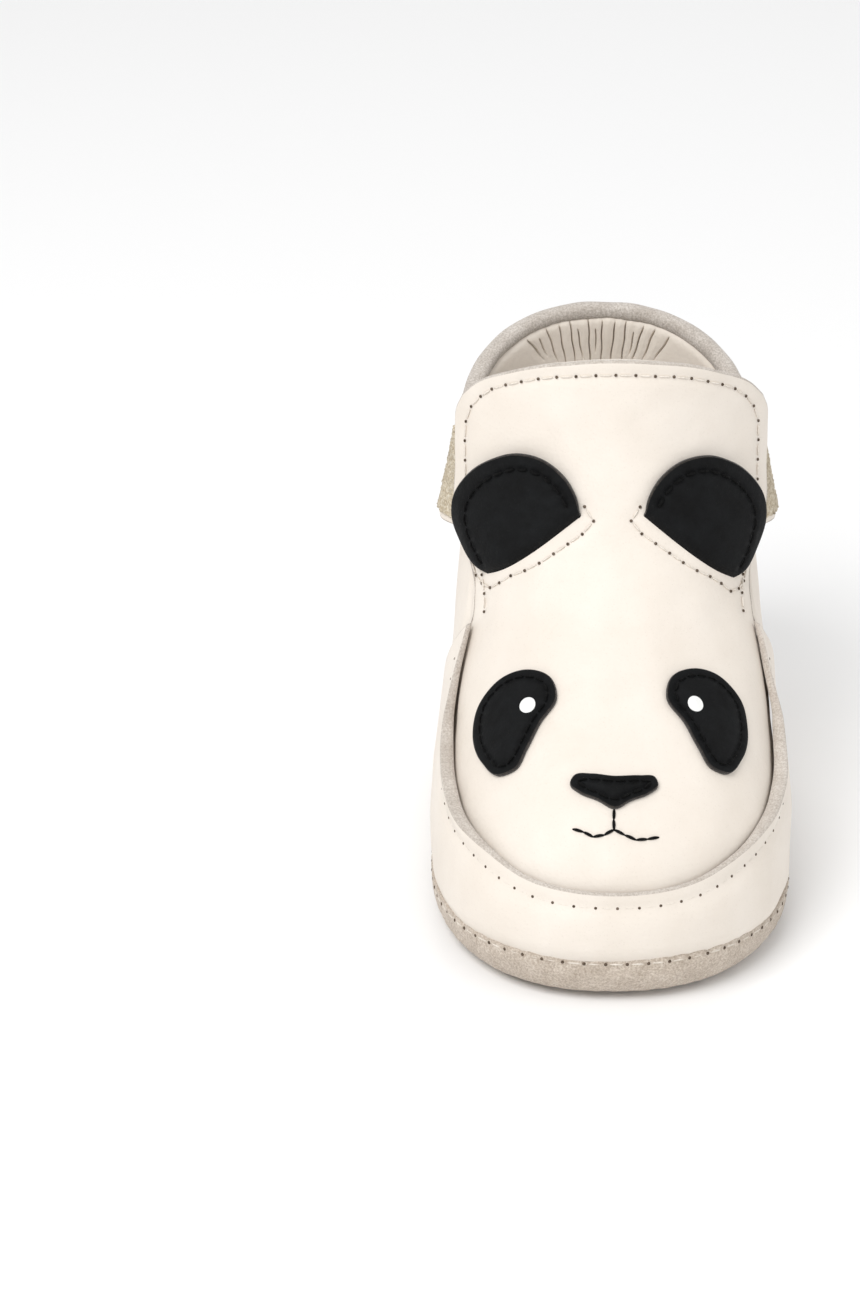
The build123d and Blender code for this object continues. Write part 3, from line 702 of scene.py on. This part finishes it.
ELASTIC = cloth("elastic", (0.74, 0.73, 0.70), (0.84, 0.83, 0.80), 2200)


def finish_piece(made, body, node):
    """Ride a piece on a body, in place of a CAD node."""
    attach(made, body)
    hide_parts(node)


def finish_flexing(made, slot, *nodes):
    """Bake a piece's transform into its mesh, in place of CAD nodes, which are hidden."""
    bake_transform(made)
    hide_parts(*nodes)


def finish_strap(made, node):
    """Bake a piece's transform into its mesh, in place of a CAD node, which is hidden."""
    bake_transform(made)
    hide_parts(node)


# ---- stitch paths
def toe_line(line, drop, back, count):
    """(angle, z) of a path round the toe, a distance below a side-view line.

    It runs from a distance back along the inner side to the same one on the outer side.
    """
    y = np.linspace(back, -47, 160)
    slope = line_height(line, y + 0.5) - line_height(line, y - 0.5)
    steep = np.sqrt(1 + slope ** 2)
    z = line_height(line, y) - drop / steep
    y = y + drop * slope / steep
    inner = side_domain(y, z, -1)
    outer = side_domain(y, z, 1)[::-1]
    angle = np.linspace(inner[-1, 0], outer[0, 0], 160)[1:-1]
    z = np.full(len(angle), 20.0)
    for _ in range(8):
        z = line_height(line, place(angle, z)[:, 1]) - drop
    return even_metric(np.concatenate([inner, np.stack([angle, z], 1), outer]), count)


def panel_edge(side, count):
    """Free edge of the panel on one side, from under the band to the top corner."""
    points = curve(PANEL_SIDE, count)
    return side_domain(*points.T, side)


def crown(count):
    """Top edge of the tongue, from the inner to the outer corner."""
    points = curve(PANEL_CROWN, count)
    outer = side_domain(*points.T, 1)
    inner = side_domain(*points.T, -1)
    outer[-1, 0] = inner[-1, 0] = -math.pi / 2
    return even_metric(np.concatenate([inner, outer[::-1][1:]]), count)


def even_metric(domain, count):
    """Evenly spaced points of an (angle, z) path, measured on the body."""
    run = run_along(on_body(domain, 0.0, True))
    at = np.linspace(0, run[-1], count)
    return np.stack([np.interp(at, run, domain[:, k]) for k in range(2)], 1)


def tongue_stitch_path():
    """Sewn line inside the tongue's free edge, from throat to throat."""
    inner, outer = panel_edge(-1, 120), panel_edge(1, 120)
    free = inner[:, 1] > 47.5
    rim = np.concatenate([inner[free], crown(120)[1:-1], outer[free][::-1]])
    points = on_body(rim, 0.0, True)
    middle = place(np.full(len(rim), -math.pi / 2), np.clip(rim[:, 1], 50, 76), 0.0, True)
    pulled = points + unit(middle - points) * 2.1
    z = np.clip(pulled[:, 2], 40, 92)
    return lifted(even(on_front(pulled[:, 0], z, 0.0, True), 260), 0.0, True)


def face_line(outline, side, inset):
    """Sewn line inside a closed outline on the face, on top of its patch."""
    ring = closed_curve(outline, 90)
    step = np.gradient(ring, axis=0)
    inward = unit(np.stack([-step[:, 1], step[:, 0]], 1))
    middle = ring.mean(0)
    if ((middle - ring) * inward).sum() < 0:
        inward = -inward
    ring = ring + inward * inset
    path = on_face(FACE_MIDDLE + side * ring[:, 0], ring[:, 1])
    return lifted(path, PATCH_FACE + 0.1, False)


# ---- sole
def scallops(points):
    """Rise of the sole's edge between its stitches: 0 at each needle hole, 1 half way."""
    run = run_along(SOLE_SEWN)
    near = np.argmin(np.linalg.norm(points[:, None] - SOLE_SEWN[None], axis=2), 1)
    count = round(run[-1] / SOLE_PITCH)
    return np.abs(np.sin(math.pi * run[near] / run[-1] * count)) * (points[:, 1] < 0)


def build_outsole():
    count = 900
    angle = np.linspace(0, 2 * np.pi, count, endpoint=False)
    ground = place(angle, 0.0, 0.5)
    middle = np.array([0.0, 2.0, 0.0])
    rings = [middle + (ground - middle) * s for s in (0.03, 0.35, 0.65, 0.85, 0.95, 1.0)]
    edge = np.full(count, 6.0)
    for _ in range(4):
        edge = line_height(SOLE_EDGE, place(angle, edge, 1.4)[:, 1])
    edge = edge + 0.1 * waves(place(angle, 6.0), 11, 3) + 0.42 * scallops(place(angle, edge, 1.5))
    for share in np.linspace(0.06, 1, 14):
        bulge = 0.6 + 1.0 * min(1, share / 0.45) ** 0.6 - 0.25 * share ** 8
        fuzz = 0.05 * waves(place(angle, edge * share), 3.0, 11)
        rings.append(place(angle, edge * share, bulge + fuzz))
    for lift, offset in ((0.14, 1.0), (0.05, 0.5), (-0.3, 0.3)):
        rings.append(place(angle, edge + lift, offset))
    rings.append(place(angle, 2.0, 0.3))
    inside = place(angle, 1.5, 0.0) - middle - [0, 0, 1.5]
    rings.append(middle + [0, 0, 1.5] + inside * 0.97)
    rings.append(middle + [0, 0, 1.5] + inside * 0.03)
    grid = np.array(rings)
    made = make_mesh("sole", grid.reshape(-1, 3), capped_rings(len(grid), count), [SOLE])
    finish_piece(made, FOOT, "outsole")


def build_pad(name, node, low, high, material):
    """Soft flat pad that fills the inside of the sole, a little crowned."""
    count, inset = 160, -2.9
    angle = np.linspace(0, 2 * np.pi, count, endpoint=False)
    rings = [place(angle, low, inset) * [share, share, 1] for share in (0.04, 0.5, 0.9, 0.985)]
    rings.append(place(angle, (low + high) / 2, inset))
    for share in (0.985, 0.9, 0.7, 0.4, 0.04):
        ring = place(angle, high, inset) * [share, share, 1]
        ring[:, 2] += 0.35 * (1 - share ** 2) - (0.25 if share > 0.98 else 0)
        rings.append(ring)
    grid = np.array(rings)
    made = make_mesh(name, grid.reshape(-1, 3), capped_rings(len(grid), count), [material])
    finish_piece(made, FOOT, node)


# ---- toe band
def band_side(base):
    """0 at the toe, 1 where the band is thickest along the sides, and less at the throat."""
    y = base[..., 1]
    return hermite(y, [-58, -50, -40, -32, -24, -16, -9], [0, 0.15, 0.75, 1, 0.95, 0.4, 0])


def band_offset(base, z):
    """How far the toe band's face stands off the body."""
    y = base[..., 1]
    slope = line_height(BAND_EDGE, y + 0.5) - line_height(BAND_EDGE, y - 0.5)
    drop = (line_height(BAND_EDGE, y) - z) / np.sqrt(1 + slope ** 2)
    rise = z - line_height(SOLE_EDGE, y)
    at = [0, 0.9, 2.0, 4.0, 8.0, 20.0]
    toe = hermite(drop, at, [1.95, 1.75, 1.45, 1.8, 1.95, 1.6])
    side = band_side(base) * hermite(drop, at, [1.0, 0.8, 0.4, -0.1, -0.5, -0.3])
    tip = np.clip((y + 20) / 10, 0, 1)
    puffed = toe + side - 0.7 * tip * (toe - 0.9) + 0.13 * waves(base, 17, 21)
    return puffed - 0.6 * np.exp(-(rise / 1.0) ** 2)


def build_band():
    cols, rows = 320, 34
    side = curve(BAND_END, 200)
    side = side[np.round(np.linspace(0, 1, rows) ** 0.8 * 199).astype(int)]
    left, right = side_domain(*side.T, -1), side_domain(*side.T, 1)
    top = toe_line(BAND_EDGE, 0, BAND_END[-1][0], cols)
    bottom = toe_line(SOLE_EDGE, -0.1, BAND_END[0][0], cols)
    left[0], right[0], left[-1], right[-1] = bottom[0], bottom[-1], top[0], top[-1]
    domain = coons(bottom, top, left, right)
    angle, z = domain[..., 0], domain[..., 1]
    base = place(angle, z)
    rim = np.exp(-np.linspace(1, 0, rows)[:, None] * 9)
    lift = 0.16 * waves(base, 21, 9) * rim
    offset = band_offset(base, z)
    thick = 0.95 + 1.4 * band_side(base) * rim
    grid = place(angle, z + lift, offset)
    inner = place(angle, z + lift + 0.4 * band_side(base) * rim, offset - thick)
    made = panel("toe_band", grid, 1.0, [CREAM, EDGE, EDGE], roundness=0.3, inner=inner)
    finish_piece(made, FOOT, "toe_band")


# ---- vamp and tongue, one piece of leather
def panel_domain(rows, cols, drop):
    """Grid of (angle, z) over the vamp and tongue, from a distance under the band's rim."""
    left, right = panel_edge(-1, rows), panel_edge(1, rows)
    top = crown(cols)
    top[0], top[-1] = left[-1], right[-1]
    bottom = toe_line(BAND_EDGE, drop, PANEL_SIDE[0][0] - 0.8 * drop, cols)
    left[0], right[0] = bottom[0], bottom[-1]
    return coons(bottom, top, left, right)


def build_panel(sewn):
    rows, cols = 190, 130
    domain = panel_domain(rows, cols, PANEL_UNDER_BAND)
    flat = on_body(domain, 0.0, True)
    rim = line_height(BAND_EDGE, np.minimum(flat[..., 1], BAND_EDGE[-1][0]))
    under = np.clip((rim - domain[..., 1]) / 2 - 0.2, 0, 1)
    offset = relief(flat) * (1 - under) - 0.5 * under
    grid = sink(on_body(domain, offset, True), sewn, 0.22, 1.1)
    made = panel("vamp_and_tongue", grid, PANEL_THICK, [CREAM, EDGE, EDGE], roundness=0.6,
                 inner=on_body(domain, offset - PANEL_THICK, True))
    finish_flexing(made, "cream_leather", "vamp", "tongue")


def build_panel_lining():
    domain = panel_domain(90, 70, PANEL_UNDER_BAND + 0.5)
    inner = on_body(domain, TONGUE_LINING_AT - TONGUE_LINING_THICK, True)
    made = panel("vamp_and_tongue_lining", on_body(domain, TONGUE_LINING_AT, True),
                 TONGUE_LINING_THICK, [LINING] * 3, inner=inner)
    finish_flexing(made, "lining_leather", "tongue_lining")
    top, bottom = toe_line(BAND_EDGE, 3.0, -9, 120), toe_line(SOLE_EDGE, 0, 1, 120)
    domain = bottom + (top - bottom) * np.linspace(0, 1, 16)[:, None, None]
    made = panel("toe_lining", on_body(domain, TOE_LINING_AT), LINING_THICK, [LINING] * 3)
    finish_piece(made, FOOT, "vamp_lining")


# ---- quarter, collar and elastic
def around_heel(count, z, y):
    """Angles from a point on the outer side, round the heel, to the same on the inner side."""
    return np.linspace(angle_at(y, z, 1), angle_at(y, z, -1) + 2 * math.pi, count)


def gather(angle, drop):
    """Folds of leather gathered by the heel's elastic: high on a fold's top, low in a crease."""
    across = (angle - math.pi / 2) / GATHER_REACH
    fade = np.exp(-(across ** 2) ** 2) * np.exp(-((drop - GATHER_DROP) / GATHER_SPREAD) ** 2)
    bend = 0.14 * np.sin(drop * 0.35 + across * 3)
    phase = (across + bend * 0.2) * GATHER_FOLDS
    phase = phase + 0.35 * np.sin(across * 9.0) + 0.2 * np.sin(across * 23)
    return fade * (np.abs(np.sin(phase * math.pi)) ** 0.55 - 0.5)


def upper_edge(y):
    """Height of the quarter's top edge."""
    line = QUARTER_TOP + [(back, high - UNDER_COLLAR) for back, high in COLLAR_TOP[1:]]
    return np.interp(y, *np.array(line).T)


def build_quarter():
    cols, rows = 640, 70
    seam = np.array(SIDE_SEAM, float)
    across = np.linspace(0, 1, cols)[None]

    def angles(z):
        first = angle_at(np.interp(z, seam[:, 1], seam[:, 0]), z, 1)
        return first + (math.pi - 2 * first) * across

    middle = np.full((1, cols), 62.0)
    top = upper_edge(place(angles(middle), middle)[..., 1])
    low, lower_rows = 3.6, 0.68
    shared = np.minimum(50.0, top - 2.0)
    share = np.linspace(0, 1, rows)[:, None]
    z = np.where(share < lower_rows, low + (shared - low) * share / lower_rows,
                 shared + (top - shared) * (share - lower_rows) / (1 - lower_rows))
    angle = angles(z)
    flat = place(angle, z)
    drop = top + UNDER_COLLAR - z
    offset = 0.8 * gather(angle, drop) + 0.25 * waves(flat, 24, 31) - 0.15
    behind = np.clip((flat[..., 1] - 28) / 6, 0, 1)
    offset -= 0.35 * np.exp(-((drop - 4.0) / 0.8) ** 2) * behind
    side = np.array(PANEL_SIDE[:6], float)
    under = smooth_step(1 + (np.interp(z, side[:, 1], side[:, 0]) - flat[..., 1]) / 2.6)
    offset -= 1.4 * under * np.clip((z - 32) / 8, 0, 1)
    made = panel("quarter", place(angle, z, offset), QUARTER_THICK, [CREAM, EDGE, EDGE],
                 inner=place(angle, z, offset - QUARTER_THICK))
    finish_piece(made, FOOT, "quarter")


def creases(x, drop):
    """Depth of the gathered lining's creases, 0 to 1, and of the puffs between them."""
    groove, nearest = np.zeros(x.shape), np.full(x.shape, 9.0)
    for top, low, start, length in HEEL_CREASES:
        run = (drop - start) / length
        line = top + (low - top) * run + 0.07 * np.sin(drop * 1.3 + top * 3)
        shown = np.clip(run * 6, 0, 1) * np.clip((1 - run) * 2.5, 0, 1)
        shown = shown * (0.35 + length / 17)
        groove = np.maximum(groove, shown * np.exp(-((x - line) / 0.1) ** 2))
        nearest = np.minimum(nearest, np.abs(x - line))
    zone = np.exp(-(np.abs(x) / 18) ** 6) * np.clip(1 - (drop - 4) / 14, 0, 1)
    return groove, zone * (1 - np.exp(-(nearest / 0.9) ** 2))


def build_quarter_lining():
    ends = around_heel(2, 40, 24.6)
    heel = np.linspace(math.pi / 2 - 0.72, math.pi / 2 + 0.72, 760)
    angle = np.concatenate([np.linspace(ends[0], heel[0], 120)[:-1], heel,
                            np.linspace(heel[-1], ends[1], 120)[1:]])
    share = np.concatenate([np.linspace(0, 0.76, 16)[:-1], np.linspace(0.76, 1, 90)])[:, None]
    angle = np.broadcast_to(angle, (len(share), len(angle)))
    flat = place(angle[:1], 70.0)
    top = line_height(COLLAR_TOP, flat[..., 1]) - 1.9
    z = 5.0 + (top - 5.0) * share
    surface = place(angle, z)
    groove, puff = creases(surface[..., 0], top - z - 0.9)
    tuck = np.exp(-((top - z) / 1.1) ** 2)
    swell = tuck + 1.3 * groove - 0.2 * puff + 0.1 * waves(surface, 20, 41)
    outer = place(angle, z, HEEL_LINING_AT + swell)
    inner = place(angle, z, HEEL_LINING_AT - LINING_THICK + swell)
    made = panel("quarter_lining", outer, LINING_THICK, [LINING] * 3, inner=inner)
    finish_piece(made, FOOT, "quarter_lining")


def build_front_lining():
    """Lining of the low front of the quarter, under each strap."""
    y = np.linspace(-5.5, 25.5, 50)
    top = np.minimum(np.interp(y, [-9.3, -4.0, -0.6, 5, 30], [45, 49.2, 51.8, 52.8, 53]), 53)
    z = 5.0 + (top - 5.0) * np.linspace(0, 1, 24)[:, None]
    for name, side in SIDES.items():
        grid = place(angle_at(np.broadcast_to(y, z.shape), z, side), z, SIDE_LINING_AT)
        made = panel(name + "_side_lining", grid[:, ::side], LINING_THICK, [LINING] * 3)
        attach(made, FOOT)


def build_elastic():
    cols, rows = 160, 8
    angle = around_heel(cols, 66, 34)
    flat = place(angle, 68.0)
    top = line_height(COLLAR_TOP, flat[:, 1]) - 7.5
    z = top - 8.0 * (1 - np.linspace(0, 1, rows)[:, None])
    made = panel("heel_elastic", place(angle, z, -1.3), 0.35, [ELASTIC] * 3)
    finish_piece(made, FOOT, "ankle_elastic")


def build_collar():
    cols, ring, half_width, half_height = 360, 22, 1.7, 1.5
    angle = around_heel(cols, 71, 24.3)
    z = np.full(cols, 74.0)
    for _ in range(5):
        z = line_height(COLLAR_TOP, place(angle, z, -1.0)[:, 1])
    centre = place(angle, z - half_height, -1.05)
    out = unit(place(angle, z - half_height, 0.0) - centre)
    from_end = np.minimum(np.arange(cols), np.arange(cols)[::-1]) * 0.28
    taper = np.clip(from_end / 1.6, 0.03, 1) ** 0.5
    swell = 1 + 0.05 * waves(centre, 9, 51)
    rows = []
    for k in range(ring):
        turn = 2 * math.pi * k / ring
        across = math.copysign(abs(math.cos(turn)) ** 0.85, math.cos(turn)) * half_width
        up = math.copysign(abs(math.sin(turn)) ** 0.9, math.sin(turn)) * half_height
        point = centre + out * (across * taper * swell)[:, None]
        point[:, 2] += up * taper * swell
        rows.append(point)
    grid = np.stack(rows[::-1], 1)
    made = make_mesh("collar_roll", grid.reshape(-1, 3), capped_rings(cols, ring), [ROLL])
    finish_piece(made, FOOT, "collar_binding")


# ---- face and ears
def face_patch(name, ring, side, offset, thickness, material, edge, node, sewn):
    """Patch glued and sewn to the vamp, a little crowned, with its rim pressed down."""
    flat = rings_in(ring[:-1], 20)
    near = np.min(np.linalg.norm(flat[:, :, None] - ring[None, None], axis=3), 2)
    crowned = offset + 0.3 * np.clip(near / 2.5, 0, 1)
    grid = on_face(FACE_MIDDLE + side * flat[..., 0], flat[..., 1])
    normal = surface_normals(grid.reshape(-1, 3), False).reshape(grid.shape)
    grid = grid + normal * (crowned + relief(grid))[..., None]
    if (normals_of(grid, True) * normal).sum() < 0:
        grid = grid[:, ::-1]
    if sewn is not None:
        grid = sink(grid, [sewn], 0.35, 0.6, True)
    made = panel(name, grid, thickness, [material, edge, edge], True, 0.4, disc=True)
    finish_piece(made, FOOT, node)


def build_face():
    eye_lines = []
    for name, side in SIDES.items():
        sewn = face_line(EYE_OUTLINE, side, 1.15)
        eye_lines.append(sewn)
        face_patch(name + "_eye", closed_curve(EYE_OUTLINE, 141), side, PATCH_FACE, PATCH_THICK,
                   BLACK, BLACK_EDGE, name + "_eye_patch", sewn)
        turn = np.linspace(0, 2 * np.pi, 41)
        dot = HIGHLIGHT_RADIUS * np.stack([np.cos(turn) * 0.95, np.sin(turn) * 1.1], 1)
        face_patch(name + "_highlight", dot + HIGHLIGHT_AT, side, PATCH_FACE + 0.35, 0.3, WHITE,
                   WHITE, name + "_eye_highlight", None)
    nose = face_line(NOSE_OUTLINE, 1, 0.9)
    face_patch("nose", closed_curve(NOSE_OUTLINE, 121), 1, PATCH_FACE, PATCH_THICK, BLACK,
               BLACK_EDGE, "nose_patch", nose)
    black_stitches("face_stitches", eye_lines + [nose], 2.1, FACE_STITCH, FOOT, "face_stitching",
                   False, 0.3, 0.8)
    lines = []
    for line in MOUTH_LINES:
        points = curve(line, 30)
        lines.append(lifted(on_face(FACE_MIDDLE + points[:, 0], points[:, 1]), 0.1, False))
    black_stitches("mouth_stitches", lines, 1.9, MOUTH_STITCH, FOOT, "mouth_stitching", False,
                   0.22, 1.02)


def ear_surface(flat, side, lift):
    """Points over the tongue's wing in the front view, lifted off it."""
    x = EAR_MIDDLE + side * flat[..., 0]
    base = on_front(x, flat[..., 1], 0.0, True)
    return on_front(x, flat[..., 1], lift + relief(base), True)


def ear_lift(flat):
    """How far the ear stands off the tongue: tucked in at the slit and free at its curve."""
    a, b = np.array(EAR_SLIT[0]), np.array(EAR_SLIT[1])
    along = unit(b - a)
    reach = np.abs((flat - a) @ np.array([-along[1], along[0]]))
    return -0.3 + 1.75 * (1 - np.exp(-(reach / 1.1) ** 1.5)) + 0.75 * np.clip(reach / 16, 0, 1) ** 1.5


def build_ears():
    lines = []
    for name, side in SIDES.items():
        slit = even(np.array([EAR_CURVE[-1], EAR_CURVE[0]]), 45)[1:-1]
        flat = rings_in(np.concatenate([curve(EAR_CURVE, 121), slit]), 26)
        grid = ear_surface(flat, side, ear_lift(flat))
        if (normals_of(grid, True)[..., 1]).sum() > 0:
            grid = grid[:, ::-1]
        inset = curve(EAR_SEWN, 80)
        sewn = ear_surface(inset, side, ear_lift(inset))
        grid = sink(grid, [sewn], 0.35, 0.6, True)
        made = panel(name + "_ear_flap", grid, EAR_THICK, [BLACK, BLACK_EDGE, BLACK], True,
                     disc=True)
        finish_piece(made, FLAP, name + "_ear")
        lines.append(sewn)
    black_stitches("ear_stitches", lines, 2.4, EAR_STITCH, FLAP, "ear_stitching", True, 0.3, 0.8)


def slit_paths():
    """Sewn lines round the ears' slits."""
    paths = []
    for side in SIDES.values():
        points = curve(SLIT_SEAM, 60)
        flat = on_front(EAR_MIDDLE + side * points[:, 0], points[:, 1], 0.0, True)
        paths.append(lifted(flat, 0.0, True))
    return paths


# ---- straps
def side_reach(y, z, offset, wing):
    """Half width of the body at distances along the foot."""
    width, share, power = section(y, z, offset, wing)
    return width * (1 - np.clip(np.abs(share), 0, 1) ** power) ** (1 / power)


def strap_face(y, z, side, inward):
    """Outer face of the loop tape, or a layer inward of it."""
    under = side_reach(y, z, -2.85, True)
    ankle = side_reach(y, z, 0.0, False)
    share = smooth_step((y - 8.0) / 6.0)
    lean = 1.15 - 0.5 * (z - STRAP_LOW) / (STRAP_HIGH - STRAP_LOW)
    bulge = np.where(y > 8, 3.6 * lean * np.clip(np.sin(np.pi * (y - 8.0) / 15.6), 0, 1), 0)
    x = under * (1 - share) + (ankle + 0.4) * share + bulge - inward
    return np.stack([side * x, y + 0 * x, z + 0 * x], -1)


def strap_outline(front, back, low, high, corner):
    """Rectangle with rounded front corners, in the side view."""
    rows, cols = 46, 90
    v = np.linspace(0, 1, rows)[:, None]
    u = np.linspace(0, 1, cols)[None]
    y = back + (front - back) * u
    distance = np.clip(corner - (y - front), 0, corner)
    cut = corner - np.sqrt(np.clip(corner ** 2 - distance ** 2, 0, None))
    z = (low + cut) + (high - low - 2 * cut) * v
    return y + 0 * z, z


def build_straps():
    for name, side in SIDES.items():
        y, z = strap_outline(-3.0, 23.8, STRAP_LOW, STRAP_HIGH, 5.0)
        grid = strap_face(y, z, side, 0.7)
        grid = grid[:, ::-1] if side > 0 else grid
        made = panel(name + "_ankle_tab", grid, 1.15, [CREAM, EDGE, EDGE], roundness=0.6)
        finish_strap(made, name + "_strap")

        y, z = strap_outline(-1.8, 19.4, STRAP_LOW + 1.3, STRAP_HIGH - 1.3, 4.0)
        grid = strap_face(y, z, side, 0.0)
        fuzz = 0.10 * rng.normal(size=grid.shape[:2])
        grid = grid + np.array([side, 0, 0]) * fuzz[..., None]
        grid = grid[:, ::-1] if side > 0 else grid
        made = panel(name + "_loops", grid, 0.6, [LOOPS] * 3, roundness=0.7)
        finish_strap(made, name + "_loop_tape")


def build_hooks():
    low, high, front = 57.4, 69.2, -7.0
    u = np.linspace(0, 1, 20)[None]
    z = low + (high - low) * np.linspace(0, 1, 16)[:, None] + 0 * u
    y = front + (np.interp(z, [low, high], [-1.2, 5.6]) - front) * u
    for name, side in SIDES.items():
        grid = place(angle_at(y, z, side), z, -2.0, True)
        normal = surface_normals(grid.reshape(-1, 3), True).reshape(grid.shape)
        if (normals_of(grid) * normal).sum() < 0:
            grid = grid[:, ::-1]
        made = panel(name + "_hooks", grid, 0.45, [HOOKS] * 3, roundness=0.4)
        finish_piece(made, FLAP, name + "_hook_tape")


# ---- stage
def build_stage():
    """Pale floor, white world and three soft lamps."""
    floor_material = Nodes("floor")
    floor_material.set("Base Color", (0.93, 0.93, 0.93, 1))
    floor_material.set("Roughness", 0.9)
    reach = 6000
    corners = [(-reach, -reach, 0), (reach, -reach, 0), (reach, reach, 0), (-reach, reach, 0)]
    make_mesh("floor", corners, [(0, 1, 2, 3)], [floor_material.material])

    world = bpy.data.worlds.new("studio")
    world.use_nodes = True
    background = world.node_tree.nodes["Background"]
    background.inputs["Color"].default_value = (1, 1, 1, 1)
    background.inputs["Strength"].default_value = 0.64
    bpy.context.scene.world = world
    bpy.context.scene.view_settings.view_transform = "Standard"

    for name, at, size, power in (("key", (-0.35, -0.45, 0.75), 0.5, 5.0),
                                  ("fill", (0.6, -0.35, 0.45), 0.6, 0.9),
                                  ("back", (0.1, 0.6, 0.9), 0.5, 1.4)):
        light = bpy.data.lights.new(name, "AREA")
        light.size = size
        light.energy = power
        lamp = bpy.data.objects.new(name, light)
        lamp.location = at
        aim = np.array([0, 0, 0.03]) - np.array(at)
        lamp.rotation_euler = (math.atan2(math.hypot(aim[0], aim[1]), -aim[2]), 0,
                               math.atan2(aim[1], aim[0]) - math.pi / 2)
        bpy.context.scene.collection.objects.link(lamp)


def build_camera():
    """Camera in front of the toe, above it and a little to the inner side."""
    elevation, distance = math.radians(26.0), 0.700
    target = (-0.0315, 0.0, 0.0362)
    data = bpy.data.cameras.new("camera")
    data.sensor_width = 36
    data.lens = 111.06977
    camera = bpy.data.objects.new("camera", data)
    camera.location = (target[0], -distance * math.cos(elevation),
                       target[2] + distance * math.sin(elevation))
    camera.rotation_euler = (math.pi / 2 - elevation, 0, 0)
    bpy.context.scene.collection.objects.link(camera)
    bpy.context.scene.camera = camera


TONGUE_SEWN = tongue_stitch_path()
SOLE_SEWN = on_body(toe_line(SOLE_EDGE, 0.45, 0, 400), 1.5)
BAND_LINE = toe_line(BAND_EDGE, 2.1, -13, 400)
BAND_SEWN = on_body(BAND_LINE, band_offset(on_body(BAND_LINE), BAND_LINE[:, 1]))
SLITS = slit_paths()

build_outsole()
build_pad("foam_pad", "midsole_pad", 1.7, 3.2, FOAM)
build_pad("insole_pad", "insole", 3.6, 4.7, INSOLE)
build_band()
build_panel([TONGUE_SEWN] + SLITS)
build_panel_lining()
build_quarter()
build_quarter_lining()
build_front_lining()
build_elastic()
build_collar()
build_face()
build_ears()
build_straps()
build_hooks()
cream_stitches("band_stitches", [BAND_SEWN], BAND_PITCH, FOOT, "band_stitching", False)
cream_stitches("sole_stitches", [SOLE_SEWN], SOLE_PITCH, FOOT, "sole_stitching", False,
               SOLE_NEEDLE_HOLE)
cream_stitches("tongue_stitches", [TONGUE_SEWN], TONGUE_PITCH, FLAP, "tongue_edge_stitching", True)
cream_stitches("slit_stitches", SLITS, SLIT_PITCH, FLAP, "slit_stitching", True)
build_stage()
build_camera()
